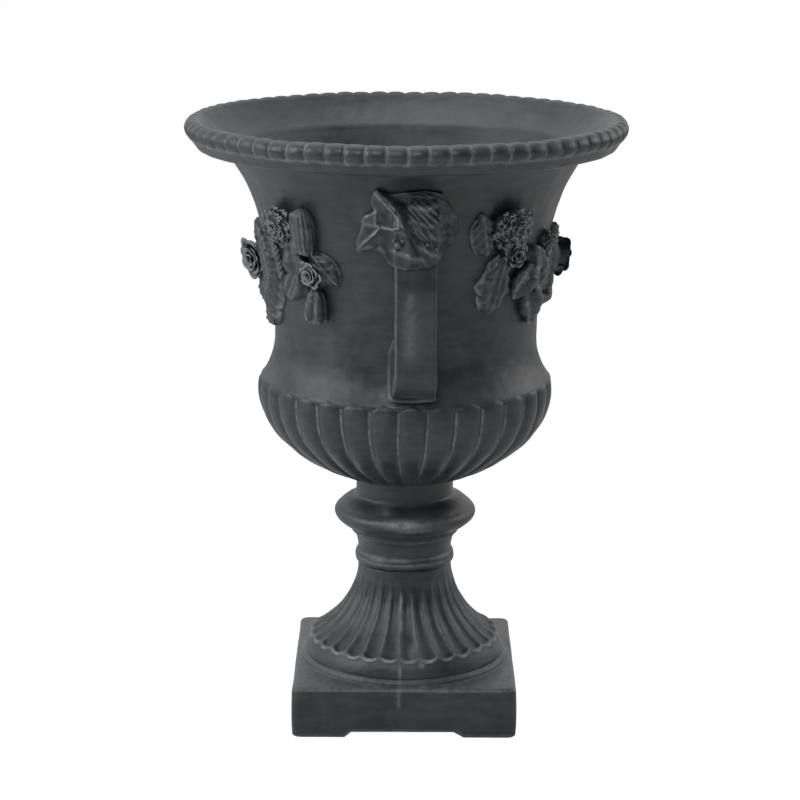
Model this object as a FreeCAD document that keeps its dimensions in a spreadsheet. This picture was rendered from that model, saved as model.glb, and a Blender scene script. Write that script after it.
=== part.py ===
import FreeCAD, Part
import math
import os

import Sketcher

# A garden urn planter on a square plinth, made of castings that a central tie rod clamps together.
# Millimetres, +Z up, the origin on the ground under the middle of the plinth.
# The plinth stands square to the front (-Y); everything above it is turned by urn_turn.

document = FreeCAD.newDocument("UrnPlinthAndBowl")
sheet = document.addObject("Spreadsheet::Sheet", "Sizes")

SIZES = [
    ("urn_turn", 3),
    ("casting_wall", 12),
    ("joint_gap", 0.3),
    ("cutter_lift", 1.2),
    # plinth
    ("plinth_side", 261),
    ("plinth_height", 60),
    ("plinth_wall", 24),
    ("plinth_roof", 22),
    ("plinth_corner_radius", 7),
    ("plinth_edge_radius", 5),
    ("plinth_cove", 8),
    ("plinth_cove_radius", 9),
    ("arch_width", 141),
    ("arch_height", 6.5),
    # fluted foot
    ("ring_radius", 120),
    ("ring_height", 18),
    ("ring_bulge_radius", 40),
    ("foot_edge_radius", 112.5),
    ("foot_edge_roll", 4),
    ("foot_edge_setback", 2),
    ("foot_height", 109),
    ("foot_neck_radius", 55),
    ("foot_neck_band", 3),
    ("foot_collar", 6),
    ("foot_curve_radius", 112),
    ("foot_cavity_radius", 80),
    ("foot_spigot_radius", 94),
    ("foot_spigot_depth", 8),
    ("flute_count", 30),
    ("flute_width_share", 0.84),
    ("flute_depth_share", 0.24),
    # stem
    ("stem_bore_radius", 31),
    ("stem_spigot_radius", 42),
    ("stem_spigot_depth", 8),
    ("annulet_height", 18),
    ("annulet_bulge_radius", 10),
    ("annulet_step", 1),
    ("cavetto_step", 2),
    ("cavetto_height", 26),
    ("cavetto_radius", 55),
    ("cavetto_curve_radius", 52),
    ("knop_radius", 84),
    ("knop_height", 38),
    ("knop_nose_height", 17),
    ("knop_nose_radius", 9.6),
    ("knop_cheek_radius", 34),
    ("knop_waist_radius", 62),
    ("knop_step", 3),
    ("neck_radius", 57.5),
    ("neck_height", 26),
    ("neck_flare_radius", 8),
    # gadrooned bowl
    ("bowl_radius", 172),
    ("bowl_height", 116),
    ("bowl_widest_height", 104),
    ("bowl_cheek_radius", 80),
    ("bowl_belly_radius", 188),
    ("bowl_turn_angle", 45),
    ("bowl_floor_height", 24),
    ("gadroon_count", 32),
    ("gadroon_relief_share", 0.24),
    ("valley_width_share", 0.97),
    ("drain_hole_radius", 6),
    ("drain_circle_radius", 22),
    ("drain_hole_count", 3),
    # bell
    ("waist_radius", 152.9),
    ("waist_height", 50),
    ("shoulder_cove_radius", 82),
    ("flare_start_radius", 170.9),
    ("flare_start_height", 192),
    ("bell_side_radius", 570),
    ("bell_top_radius", 210.5),
    ("bell_height", 272),
    ("bell_flare_radius", 215),
    ("bell_tongue_depth", 9),
    ("bell_tongue_wall", 7),
    ("rim_tongue_height", 3),
    ("rim_tongue_width", 5),
    # rim
    ("lip_radius", 240),
    ("lip_height", 13),
    ("roll_radius", 11),
    ("roll_circle_radius", 244.6),
    ("rim_height", 34),
    ("rim_inner_lip", 6),
    ("rim_inner_curve_radius", 60),
    ("lobe_count", 70),
    ("lobe_relief", 3.6),
    ("groove_width_share", 0.93),
    # handles
    ("strap_width", 46),
    ("strap_thickness", 13),
    ("strap_reach", 211),
    ("strap_bow_radius", 420),
    ("strap_bend_radius", 44),
    ("strap_edge_radius", 4),
    ("strap_top_height", 238),
    ("strap_shoulder_height", 198),
    ("strap_elbow_height", 58),
    ("strap_foot_height", 14),
    ("strap_bow_depth", 3),
    ("strap_root_inset", 26),
    ("handle_root_depth", 22),
    ("handle_root_drop", 8),
    ("grip_end_radius", 20),
    ("grip_top_height", 206),
    ("grip_bottom_height", 62),
    ("handle_foot_width", 60),
    ("handle_foot_top", 92),
    ("handle_foot_proud", 9),
    ("dowel_radius", 4),
    ("dowel_wall_depth", 8),
    ("dowel_handle_depth", 14),
    ("dowel_gap", 0.15),
    ("upper_dowel_height", 222),
    ("lower_dowel_height", 38),
    # leaf over each handle's root
    ("leaf_width", 112),
    ("leaf_top_height", 250),
    ("leaf_bottom_height", 166),
    ("leaf_proud", 9),
    # tie rod
    ("rod_radius", 6),
    ("rod_hole_gap", 1),
    ("rod_end_spare", 6),
    ("washer_radius", 14),
    ("washer_thickness", 2.5),
    ("nut_across_flats", 19),
    ("nut_height", 10),
    # garlands
    ("garland_height", 148),
    ("sprig_depth", 14),
]

for row, (alias, number) in enumerate(SIZES, start=1):
    sheet.set("A%d" % row, alias)
    sheet.set("B%d" % row, str(number))
    sheet.setAlias("B%d" % row, alias)
document.recompute()


class Size:
    """A length or angle that knows its value and the sheet expression it comes from."""

    def __init__(self, value, text):
        self.value = float(value)
        self.text = text

    def __add__(self, other):
        other = as_size(other)
        return Size(self.value + other.value, "(%s + %s)" % (self.text, other.text))

    def __sub__(self, other):
        other = as_size(other)
        return Size(self.value - other.value, "(%s - %s)" % (self.text, other.text))

    def __mul__(self, other):
        other = as_size(other)
        return Size(self.value * other.value, "%s * %s" % (self.text, other.text))

    def __truediv__(self, other):
        other = as_size(other)
        return Size(self.value / other.value, "%s / (%s)" % (self.text, other.text))

    def __neg__(self):
        return Size(-self.value, "(0 - %s)" % self.text)


def as_size(thing):
    if isinstance(thing, Size):
        return thing
    return Size(thing, "(%.6f)" % thing)


def cosine(angle):
    angle = as_size(angle)
    return Size(math.cos(math.radians(angle.value)), "cos(%s)" % angle.text)


def sine(angle):
    angle = as_size(angle)
    return Size(math.sin(math.radians(angle.value)), "sin(%s)" % angle.text)


def root(square):
    return Size(math.sqrt(square.value), "sqrt(%s)" % square.text)


def size(alias):
    return Size(float(sheet.get(alias)), "Sizes.%s" % alias)


NOTHING = as_size(0)
wall = size("casting_wall")
gap = size("joint_gap")
turn = size("urn_turn")

# Heights of the joints between the castings, from the ground up.
foot_base = size("plinth_height") + size("plinth_cove")
stem_base = foot_base + size("foot_height")
stem_height = (
    size("annulet_height") + size("cavetto_height") + size("knop_height")
    + size("knop_step") + size("neck_height")
)
bowl_base = stem_base + stem_height
bell_base = bowl_base + size("bowl_height")
rim_base = bell_base + size("bell_height")


# ---- drawing helpers ----


def origin_part(body, role):
    return next(item for item in body.Origin.OriginFeatures if item.Role == role)


def new_body(name, base=NOTHING, turned=True, extra_turn=0.0):
    """A body standing at a height above the ground, turned with the urn unless it is the plinth."""
    body = document.addObject("PartDesign::Body", name)
    body.Label = name
    place(body, base, turned, extra_turn)
    return body


def place(item, base, turned=True, extra_turn=0.0):
    angle = turn + extra_turn if turned else NOTHING
    rotation = FreeCAD.Rotation(FreeCAD.Vector(0, 0, 1), angle.value)
    item.Placement = FreeCAD.Placement(FreeCAD.Vector(0, 0, base.value), rotation)
    item.setExpression(".Placement.Base.z", base.text)
    if turned:
        item.setExpression(".Placement.Rotation.Angle", angle.text)


def new_sketch(body, name, plane):
    sketch = body.newObject("Sketcher::SketchObject", name)
    sketch.AttachmentSupport = (origin_part(body, plane), [""])
    sketch.MapMode = "FlatFace"
    return sketch


def tie(sketch, kind, elements, length):
    index = sketch.addConstraint(Sketcher.Constraint(kind, *elements, length.value))
    sketch.setExpression("Constraints[%d]" % index, length.text)


def pin_point(sketch, element, corner, across, up):
    """Hold a vertex at (across, up) from the sketch's origin."""
    for kind, axis, length in (("DistanceX", -2, across), ("DistanceY", -1, up)):
        if length.value == 0:
            sketch.addConstraint(Sketcher.Constraint("PointOnObject", element, corner, axis))
        elif length.value > 0:
            tie(sketch, kind, (-1, 1, element, corner), length)
        else:
            tie(sketch, kind, (element, corner, -1, 1), -length)


def draw(sketch, corners):
    """A closed outline. A corner is (across, up) or (across, up, bend): the edge to the next corner is
    an arc of that radius, bulging to the right of the way round when bend is positive."""
    last = []
    count = len(corners)
    for i, corner in enumerate(corners):
        across, up = as_size(corner[0]), as_size(corner[1])
        after = corners[(i + 1) % count]
        start = FreeCAD.Vector(across.value, up.value, 0)
        end = FreeCAD.Vector(as_size(after[0]).value, as_size(after[1]).value, 0)
        if len(corner) == 2:
            element = sketch.addGeometry(Part.LineSegment(start, end), False)
            first, second = 1, 2
        else:
            bend = corner[2]
            radius = abs(bend.value)
            chord = end - start
            reach = math.sqrt(radius ** 2 - (chord.Length / 2) ** 2)
            left = FreeCAD.Vector(-chord.y, chord.x, 0).normalize()
            side = 1 if bend.value > 0 else -1
            centre = (start + end) * 0.5 + left * reach * side
            angles = [math.atan2(p.y - centre.y, p.x - centre.x) for p in (start, end)]
            first, second = (1, 2) if side > 0 else (2, 1)
            if side < 0:
                angles.reverse()
            circle = Part.Circle(centre, FreeCAD.Vector(0, 0, 1), radius)
            element = sketch.addGeometry(Part.ArcOfCircle(circle, *angles), False)
        last.append((element, first, second, corner))
    for i, (element, first, second, corner) in enumerate(last):
        following = last[(i + 1) % count]
        sketch.addConstraint(Sketcher.Constraint("Coincident", element, second, following[0], following[1]))
        pin_point(sketch, element, first, as_size(corner[0]), as_size(corner[1]))
        if len(corner) == 3:
            tie(sketch, "Radius", (element,), corner[2] if corner[2].value > 0 else -corner[2])


def circle_at(sketch, across, up, radius):
    circle = Part.Circle(FreeCAD.Vector(across.value, up.value, 0), FreeCAD.Vector(0, 0, 1), radius.value)
    element = sketch.addGeometry(circle, False)
    pin_point(sketch, element, 3, across, up)
    tie(sketch, "Radius", (element,), radius)
    return element


def rectangle(sketch, width, depth):
    half, other = width / 2, depth / 2
    draw(sketch, [(-half, -other), (half, -other), (half, other), (-half, other)])


def turned_solid(body, name, corners, cut=False):
    """Turn an outline in the X-Z plane once round the upright axis."""
    sketch = new_sketch(body, name + "_outline", "XZ_Plane")
    draw(sketch, corners)
    kind = "PartDesign::Groove" if cut else "PartDesign::Revolution"
    feature = body.newObject(kind, name)
    feature.Profile = sketch
    feature.ReferenceAxis = (sketch, ["V_Axis"])
    feature.Angle = 360
    return feature


def pad(body, name, sketch, length, both_ways=False, back=False):
    feature = body.newObject("PartDesign::Pad", name)
    feature.Profile = sketch
    feature.setExpression("Length", length.text)
    feature.Midplane = both_ways
    feature.Reversed = back
    return feature


def pocket(body, name, sketch, depth, back=False, both_ways=False):
    feature = body.newObject("PartDesign::Pocket", name)
    feature.Profile = sketch
    feature.setExpression("Length", depth.text)
    feature.Midplane = both_ways
    feature.Reversed = back
    return feature


def ring_of(body, feature, count):
    """Repeat a feature round the upright axis."""
    pattern = body.newObject("PartDesign::PolarPattern", feature.Name + "_ring")
    pattern.Originals = [feature]
    pattern.Axis = (origin_part(body, "Z_Axis"), [""])
    pattern.Angle = 360
    pattern.Occurrences = int(count.value)
    pattern.setExpression("Occurrences", count.text)
    body.Tip = pattern
    return pattern


def across_section(body, name, radius, height, tilt):
    """A sketch square to a path in the X-Z plane: its X axis runs round the urn, its Y axis leans
    out from the surface at tilt degrees above the horizontal."""
    sketch = new_sketch(body, name, "YZ_Plane")
    lean = as_size(90) - tilt
    rotation = FreeCAD.Rotation(FreeCAD.Vector(1, 0, 0), lean.value)
    sketch.AttachmentOffset = FreeCAD.Placement(FreeCAD.Vector(0, height.value, radius.value), rotation)
    sketch.setExpression(".AttachmentOffset.Base.y", height.text)
    sketch.setExpression(".AttachmentOffset.Base.z", radius.text)
    sketch.setExpression(".AttachmentOffset.Rotation.Angle", lean.text)
    return sketch


def carved(body, name, sections):
    loft = body.newObject("PartDesign::SubtractiveLoft", name)
    loft.Profile = sections[0]
    loft.Sections = sections[1:]
    return loft


def round_edges(body, name, radius, wanted):
    """Fillet the edges of the body's tip for which wanted(edge) is true."""
    document.recompute()
    tip = body.Tip
    names = ["Edge%d" % (i + 1) for i, edge in enumerate(tip.Shape.Edges) if wanted(edge)]
    fillet = body.newObject("PartDesign::Fillet", name)
    fillet.Base = (tip, names)
    fillet.Radius = radius.value
    fillet.setExpression("Radius", radius.text)
    return fillet


# ---- plinth ----


def make_plinth():
    side, height = size("plinth_side"), size("plinth_height")
    body = new_body("plinth", turned=False)
    plan = new_sketch(body, "plinth_plan", "XY_Plane")
    rectangle(plan, side, side)
    pad(body, "plinth_block", plan, height)
    round_edges(body, "plinth_corners", size("plinth_corner_radius"),
                lambda edge: abs(edge.Vertexes[0].Z - edge.Vertexes[-1].Z) > 1)
    top = height.value
    round_edges(body, "plinth_top_edges", size("plinth_edge_radius"),
                lambda edge: all(abs(vertex.Z - top) < 0.01 for vertex in edge.Vertexes))
    ring, cove = size("ring_radius"), size("plinth_cove")
    turned_solid(body, "plinth_cove_ring", [
        (NOTHING, height - cove),
        (ring + cove, height - cove),
        (ring + cove, height, -size("plinth_cove_radius")),
        (ring, height + cove),
        (NOTHING, height + cove),
    ])
    hollow = new_sketch(body, "plinth_hollow_plan", "XY_Plane")
    inside = side - size("plinth_wall") * 2
    rectangle(hollow, inside, inside)
    pocket(body, "plinth_hollow", hollow, height - size("plinth_roof"), back=True)
    rise, half = size("arch_height"), size("arch_width") / 2
    for plane in ("XZ_Plane", "YZ_Plane"):
        arch = new_sketch(body, "arch_%s" % plane[:2], plane)
        draw(arch, [
            (-half, NOTHING),
            (half, NOTHING, rise),
            (half - rise, rise),
            (rise - half, rise, rise),
        ])
        pocket(body, "arches_%s" % plane[:2], arch, side * 2, both_ways=True)
    socket = new_sketch(body, "plinth_socket_plan", "XY_Plane")
    floor = height + size("plinth_cove") - size("foot_spigot_depth") - gap
    socket.AttachmentOffset = FreeCAD.Placement(FreeCAD.Vector(0, 0, floor.value), FreeCAD.Rotation())
    socket.setExpression(".AttachmentOffset.Base.z", floor.text)
    circle_at(socket, NOTHING, NOTHING, size("foot_spigot_radius") + gap)
    pocket(body, "plinth_socket", socket, size("foot_spigot_depth") + gap + 1, back=True)
    add_drains(body, size("plinth_height") + size("plinth_cove"))
    return body


def add_drains(body, depth):
    """The rod's hole and the ring of drain holes beside it, cut up from the body's own base."""
    bore = new_sketch(body, body.Name + "_rod_hole_plan", "XY_Plane")
    circle_at(bore, NOTHING, NOTHING, size("rod_radius") + size("rod_hole_gap"))
    pocket(body, body.Name + "_rod_hole", bore, depth, back=True)
    drain = new_sketch(body, body.Name + "_drain_plan", "XY_Plane")
    circle_at(drain, size("drain_circle_radius"), NOTHING, size("drain_hole_radius"))
    hole = pocket(body, body.Name + "_drain", drain, depth, back=True)
    ring_of(body, hole, size("drain_hole_count"))


# ---- fluted foot ----


def foot_curve_centre():
    """Centre of the hollow curve from the foot's edge up to its neck, from the foot's own base."""
    edge_r = size("foot_edge_radius") - size("foot_edge_setback")
    neck = size("foot_neck_radius")
    edge_z = size("ring_height") + size("foot_edge_roll")
    top_z = size("foot_height") - size("foot_neck_band")
    span = root((edge_r - neck) * (edge_r - neck) + (top_z - edge_z) * (top_z - edge_z))
    curve = size("foot_curve_radius")
    reach = root(curve * curve - span * span / 4)
    across = (edge_r + neck) / 2 + reach * (top_z - edge_z) / span
    up = (edge_z + top_z) / 2 + reach * (edge_r - neck) / span
    return across, up


def make_foot():
    # Turned half a flute, so that a hollow and not a ridge faces the front.
    body = new_body("fluted_foot", foot_base, extra_turn=as_size(180) / size("flute_count"))
    ring, edge = size("ring_radius"), size("foot_edge_radius")
    ring_top, roll = size("ring_height"), size("foot_edge_roll")
    setback = size("foot_edge_setback")
    height, neck = size("foot_height"), size("foot_neck_radius")
    curve = size("foot_curve_radius")
    cavity, spigot = size("foot_cavity_radius"), size("foot_spigot_radius")
    socket = size("stem_spigot_radius") + gap
    socket_floor = height - size("stem_spigot_depth") - gap
    bore = size("stem_bore_radius")
    turned_solid(body, "foot_casting", [
        (cavity, -size("foot_spigot_depth")),
        (spigot, -size("foot_spigot_depth")),
        (spigot, NOTHING),
        (ring, NOTHING, size("ring_bulge_radius")),
        (edge, ring_top, roll),
        (edge - setback, ring_top + roll, -curve),
        (neck, height - size("foot_neck_band")),
        (neck, height),
        (socket, height),
        (socket, socket_floor),
        (bore, socket_floor),
        (bore, socket_floor - size("foot_collar")),
        (cavity, ring_top / 2),
    ])
    across, up = foot_curve_centre()
    sections = []
    # Angles round the curve's centre, from the neck (level with it) down to the foot's edge.
    drop, inset = (up - ring_top - roll).value, (across - edge + setback).value
    edge_angle = 180 + math.degrees(math.atan2(drop, inset))
    # Each station: its share of the way down, then the flute's width and depth as shares of the full ones.
    stations = ((0.10, 0.55, 0.4), (0.35, 1, 1), (0.7, 1, 1), (0.97, 0.8, 0.8))
    for step, (share, width, sunk) in enumerate(stations):
        angle = as_size(180 + (edge_angle - 180) * share)
        radius = across + curve * cosine(angle)
        level = up + curve * sine(angle)
        pitch = radius * (2 * math.pi) / size("flute_count")
        half = pitch * size("flute_width_share") * width / 2
        depth = pitch * size("flute_depth_share") * sunk
        hollow = (half * half + depth * depth) / (depth * 2)
        sketch = across_section(body, "flute_section_%d" % step, radius, level, angle - 180)
        circle_at(sketch, NOTHING, hollow - depth, hollow)
        sections.append(sketch)
    flute = carved(body, "flute", sections)
    ring_of(body, flute, size("flute_count"))
    return body


# ---- stem ----


def make_stem():
    body = new_body("stem", stem_base)
    foot_neck = size("foot_neck_radius")
    annulet_top = size("annulet_height")
    waist, waist_low = size("cavetto_radius"), annulet_top + size("cavetto_step")
    knop_low = annulet_top + size("cavetto_height")
    knop_top = knop_low + size("knop_height")
    knop_middle = (knop_low + knop_top) / 2
    nose = size("knop_nose_height") / 2
    cheek = size("knop_cheek_radius")
    nose_radius = size("knop_nose_radius")
    nose_reach = size("knop_radius") - nose_radius + root(nose_radius * nose_radius - nose * nose)
    neck, top = size("neck_radius"), stem_height
    flare = size("neck_flare_radius")
    spigot, deep = size("stem_spigot_radius"), size("stem_spigot_depth")
    bore = size("stem_bore_radius")
    bulge = size("annulet_bulge_radius")
    turned_solid(body, "stem_casting", [
        (bore, -deep),
        (spigot, -deep),
        (spigot, NOTHING),
        (foot_neck, NOTHING),
        (foot_neck, size("annulet_step"), bulge),
        (foot_neck, annulet_top - size("annulet_step")),
        (waist, waist_low, -size("cavetto_curve_radius")),
        (size("knop_waist_radius"), knop_low, cheek),
        (nose_reach, knop_middle - nose, nose_radius),
        (nose_reach, knop_middle + nose, cheek),
        (size("knop_waist_radius"), knop_top),
        (neck, knop_top + size("knop_step")),
        (neck, top - flare, -flare),
        (neck + flare, top),
        (spigot, top),
        (spigot, top + deep),
        (bore, top + deep),
    ])
    return body


# ---- gadrooned bowl ----


def bowl_arcs():
    """Centres of the bowl's cheek and belly curves, which meet smoothly at bowl_turn_angle."""
    cheek, belly = size("bowl_cheek_radius"), size("bowl_belly_radius")
    angle = size("bowl_turn_angle")
    cheek_centre = (size("bowl_radius") - cheek, size("bowl_widest_height"))
    across = cheek_centre[0] + (cheek - belly) * cosine(angle)
    up = cheek_centre[1] - (cheek - belly) * sine(angle)
    return cheek_centre, (across, up)


def level_radius(centre, radius, height):
    """How far out a circle about centre reaches at a height."""
    lift = height - centre[1]
    return centre[0] + root(radius * radius - lift * lift)


def shoulder_radius():
    cheek_centre = bowl_arcs()[0]
    return level_radius(cheek_centre, size("bowl_cheek_radius"), size("bowl_height"))


def make_bowl():
    # Turned half a gadroon, so that a gadroon is centred under each handle.
    body = new_body("gadrooned_bowl", bowl_base, extra_turn=as_size(180) / size("gadroon_count"))
    cheek_centre, belly_centre = bowl_arcs()
    cheek, belly, angle = size("bowl_cheek_radius"), size("bowl_belly_radius"), size("bowl_turn_angle")
    turn_out = (cheek_centre[0] + cheek * cosine(angle), cheek_centre[1] - cheek * sine(angle))
    inner_cheek, inner_belly = cheek - wall, belly - wall
    turn_in = (cheek_centre[0] + inner_cheek * cosine(angle), cheek_centre[1] - inner_cheek * sine(angle))
    top, floor = size("bowl_height"), size("bowl_floor_height")
    socket = size("stem_spigot_radius") + gap
    socket_roof = size("stem_spigot_depth") + gap
    turned_solid(body, "bowl_casting", [
        (NOTHING, socket_roof),
        (socket, socket_roof),
        (socket, NOTHING),
        (level_radius(belly_centre, belly, NOTHING), NOTHING, belly),
        (turn_out[0], turn_out[1], cheek),
        (shoulder_radius(), top),
        (level_radius(cheek_centre, inner_cheek, top), top, -inner_cheek),
        (turn_in[0], turn_in[1], -inner_belly),
        (level_radius(belly_centre, inner_belly, floor), floor),
        (NOTHING, floor),
    ])
    count = size("gadroon_count")
    # Each station: the curve it lies on, its angle round that curve and its depth as a share of the full one.
    stations = [(cheek_centre, cheek, 9, 0.8), (cheek_centre, cheek, -12, 1), (cheek_centre, cheek, -44, 1),
                (belly_centre, belly, -58, 1), (belly_centre, belly, -71, 0.8)]
    sections = []
    for step, (centre, radius, tilt, depth_share) in enumerate(stations):
        tilt = as_size(tilt)
        across = centre[0] + radius * cosine(tilt)
        up = centre[1] + radius * sine(tilt)
        half = across * math.pi * size("valley_width_share") / count
        depth = across * (2 * math.pi) / count * size("gadroon_relief_share") * depth_share
        lift = size("cutter_lift")
        round_side = (half * half + depth * depth) / (depth * 1.5)
        sketch = across_section(body, "valley_section_%d" % step, across, up, tilt)
        draw(sketch, [
            (NOTHING, -depth, -round_side),
            (half, lift),
            (-half, lift, -round_side),
        ])
        sections.append(sketch)
    valley = carved(body, "valley", sections)
    ring_of(body, valley, count)
    add_drains(body, floor)
    return body


# ---- bell ----


def bell_outside():
    """The bell's outer outline from the shoulder up to its top edge."""
    return [
        (shoulder_radius(), NOTHING, -size("shoulder_cove_radius")),
        (size("waist_radius"), size("waist_height"), -size("bell_side_radius")),
        (size("flare_start_radius"), size("flare_start_height"), -size("bell_flare_radius")),
        (size("bell_top_radius"), size("bell_height")),
    ]


def bell_tongue_radius():
    """The ring under the bell that drops inside the bowl's mouth."""
    cheek_centre = bowl_arcs()[0]
    return level_radius(cheek_centre, size("bowl_cheek_radius") - wall, size("bowl_height")) - gap


def make_bell():
    body = new_body("bell", bell_base)
    tongue, deep = bell_tongue_radius(), size("bell_tongue_depth")
    thick = size("bell_tongue_wall")
    top = size("bell_height")
    middle = size("bell_top_radius") - wall / 2
    half, up = size("rim_tongue_width") / 2, size("rim_tongue_height")
    turned_solid(body, "bell_casting", [
        (tongue - thick, -deep),
        (tongue, -deep),
        (tongue, NOTHING),
    ] + bell_outside() + [
        (middle + half, top),
        (middle + half, top + up),
        (middle - half, top + up),
        (middle - half, top),
        (size("bell_top_radius") - wall, top, size("bell_flare_radius") + wall),
        (size("flare_start_radius") - wall, size("flare_start_height"), size("bell_side_radius") + wall),
        (size("waist_radius") - wall, size("waist_height"), size("shoulder_cove_radius") + wall),
    ])
    # Blind holes for the handles' pins, cut outwards from their inner ends, on the front and on the back.
    for which in ("upper", "lower"):
        height = size(which + "_dowel_height")
        inner = dowel_inner_end(height)
        for side, shift in (("front", inner), ("back", -inner)):
            hole = new_sketch(body, "bell_%s_%s_hole_plan" % (which, side), "XZ_Plane")
            hole.AttachmentOffset = FreeCAD.Placement(FreeCAD.Vector(0, 0, shift.value), FreeCAD.Rotation())
            hole.setExpression(".AttachmentOffset.Base.z", shift.text)
            circle_at(hole, NOTHING, height, size("dowel_radius") + size("dowel_gap"))
            pocket(body, "bell_%s_%s_hole" % (which, side), hole, wall * 2, back=side == "front")
    return body


def bell_radius_at(height):
    """The bell's outer radius at a height above its own base."""
    outline = bell_outside()
    for start, end in zip(outline, outline[1:]):
        if height <= end[1].value:
            break
    ax, az, bx, bz = start[0].value, start[1].value, end[0].value, end[1].value
    radius = abs(start[2].value)
    chord = math.hypot(bx - ax, bz - az)
    reach = math.sqrt(radius ** 2 - chord ** 2 / 4)
    centre_x = (ax + bx) / 2 + (bz - az) / chord * reach
    centre_z = (az + bz) / 2 - (bx - ax) / chord * reach
    return centre_x - math.sqrt(radius ** 2 - (height - centre_z) ** 2)


def dowel_inner_end(height):
    return as_size(bell_radius_at(height.value)) - size("dowel_wall_depth")


def make_wall_form():
    """The space that the bell fills, solid through, against which everything on the wall is seated."""
    body = new_body("wall_form", bell_base)
    corners = [(NOTHING, NOTHING)] + bell_outside() + [(NOTHING, size("bell_height"))]
    turned_solid(body, "wall_form_solid", corners)
    return body


# ---- rim ----


def make_rim():
    body = new_body("rim_moulding", rim_base)
    inner = size("bell_top_radius") - wall
    middle = size("bell_top_radius") - wall / 2
    half, deep = size("rim_tongue_width") / 2 + gap, size("rim_tongue_height") + gap
    circle, roll = size("roll_circle_radius"), size("roll_radius")
    level = size("rim_height") - roll
    lip_rise = level - size("lip_height")
    lip_meets = circle + root(roll * roll - lip_rise * lip_rise)
    inner_angle = as_size(205)  # where the roll ends on the inside, counted round from straight outwards
    inner_meets = (circle + roll * cosine(inner_angle), level + roll * sine(inner_angle))
    turned_solid(body, "rim_casting", [
        (inner, NOTHING),
        (middle - half, NOTHING),
        (middle - half, deep),
        (middle + half, deep),
        (middle + half, NOTHING),
        (size("lip_radius"), NOTHING),
        (lip_meets, size("lip_height"), roll),
        (circle, level + roll, roll),
        (inner_meets[0], inner_meets[1], -size("rim_inner_curve_radius")),
        (inner, size("rim_inner_lip")),
    ])
    # A groove between two lobes runs over the roll from its outer foot to its inner foot.
    start = as_size(-50)  # below the widest point, outside
    relief, pitch = size("lobe_relief"), circle * (2 * math.pi) / size("lobe_count")
    half_lobe = (circle - roll) * math.pi * size("groove_width_share") / size("lobe_count")
    side = (half_lobe * half_lobe + relief * relief) / (relief * 1.5)
    lift = size("cutter_lift")
    sketch = across_section(body, "groove_section", circle, level, start)
    draw(sketch, [
        (NOTHING, roll - relief, -side),
        (half_lobe, roll + lift),
        (-half_lobe, roll + lift, -side),
    ])
    groove = body.newObject("PartDesign::Groove", "lobe_groove")
    groove.Profile = sketch
    groove.ReferenceAxis = (sketch, ["H_Axis"])
    groove.Angle = 250  # over the top to the roll's inner foot
    groove.Reversed = True
    ring_of(body, groove, size("lobe_count"))
    return body


# ---- handles ----


def handle_profile():
    reach, thick = size("strap_reach"), size("strap_thickness")
    bend, bow = size("strap_bend_radius"), size("strap_bow_radius")
    inside = reach - thick
    sunk = size("waist_radius") - size("handle_root_depth")
    top, shoulder = size("strap_top_height"), size("strap_shoulder_height")
    elbow, foot = size("strap_elbow_height"), size("strap_foot_height")
    root_top = size("bell_top_radius") - size("strap_root_inset")
    grip_top, grip_low = size("grip_top_height"), size("grip_bottom_height")
    grip_round = size("grip_end_radius")
    stem = reach - size("strap_bow_depth")
    return [
        (sunk, foot - size("handle_root_drop")),
        (shoulder_radius(), foot, bend),
        (stem, elbow, bow),
        (stem, shoulder, bend),
        (root_top, top),
        (sunk, top),
        (sunk, grip_top),
        (inside - grip_round, grip_top, -grip_round),
        (inside, grip_top - grip_round),
        (inside, grip_low + grip_round, -grip_round),
        (inside - grip_round, grip_low),
        (sunk, grip_low),
    ]


def runs_along(edge, half, outer):
    """True of the two long edges of the strap's outer face."""
    start, end = edge.Vertexes[0], edge.Vertexes[-1]
    level = abs(start.Y - end.Y) < 0.01 and abs(abs(start.Y) - half) < 0.01
    return level and min(start.X, end.X) > outer


def make_handle(side, half_turn):
    name = "handle_%s" % side
    body = new_body(name + "_casting", bell_base)
    place(body, bell_base, True, half_turn)
    sketch = new_sketch(body, name + "_profile", "XZ_Plane")
    draw(sketch, handle_profile())
    pad(body, name + "_strap", sketch, size("strap_width"), both_ways=True)
    half = size("strap_width").value / 2
    outer = size("strap_reach").value - size("strap_thickness").value * 0.6
    round_edges(body, name + "_edges", size("strap_edge_radius"), lambda edge: runs_along(edge, half, outer))
    plate = new_sketch(body, name + "_foot_profile", "XZ_Plane")
    sunk = size("waist_radius") - size("handle_root_depth")
    proud = size("handle_foot_proud")
    draw(plate, [
        (sunk, size("strap_foot_height") - size("handle_root_drop")),
        (shoulder_radius(), size("strap_foot_height") - size("handle_root_drop") / 2,
         -size("shoulder_cove_radius")),
        (size("waist_radius") + proud, size("waist_height")),
        (size("waist_radius") + proud / 4, size("handle_foot_top")),
        (sunk, size("handle_foot_top")),
    ])
    pad(body, name + "_foot", plate, size("handle_foot_width"), both_ways=True)
    for which in ("upper", "lower"):
        height = size(which + "_dowel_height")
        hole = new_sketch(body, "%s_%s_hole_plan" % (name, which), "YZ_Plane")
        start = dowel_inner_end(height)
        hole.AttachmentOffset = FreeCAD.Placement(FreeCAD.Vector(0, 0, start.value), FreeCAD.Rotation())
        hole.setExpression(".AttachmentOffset.Base.z", start.text)
        circle_at(hole, NOTHING, height, size("dowel_radius") + size("dowel_gap"))
        depth = size("dowel_wall_depth") + size("dowel_handle_depth") + gap
        pocket(body, "%s_%s_hole" % (name, which), hole, depth, back=True)
    handle = document.addObject("Part::Cut", name)
    handle.Label = name
    handle.Base = body
    handle.Tool = document.getObject("wall_form")
    return handle


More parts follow.
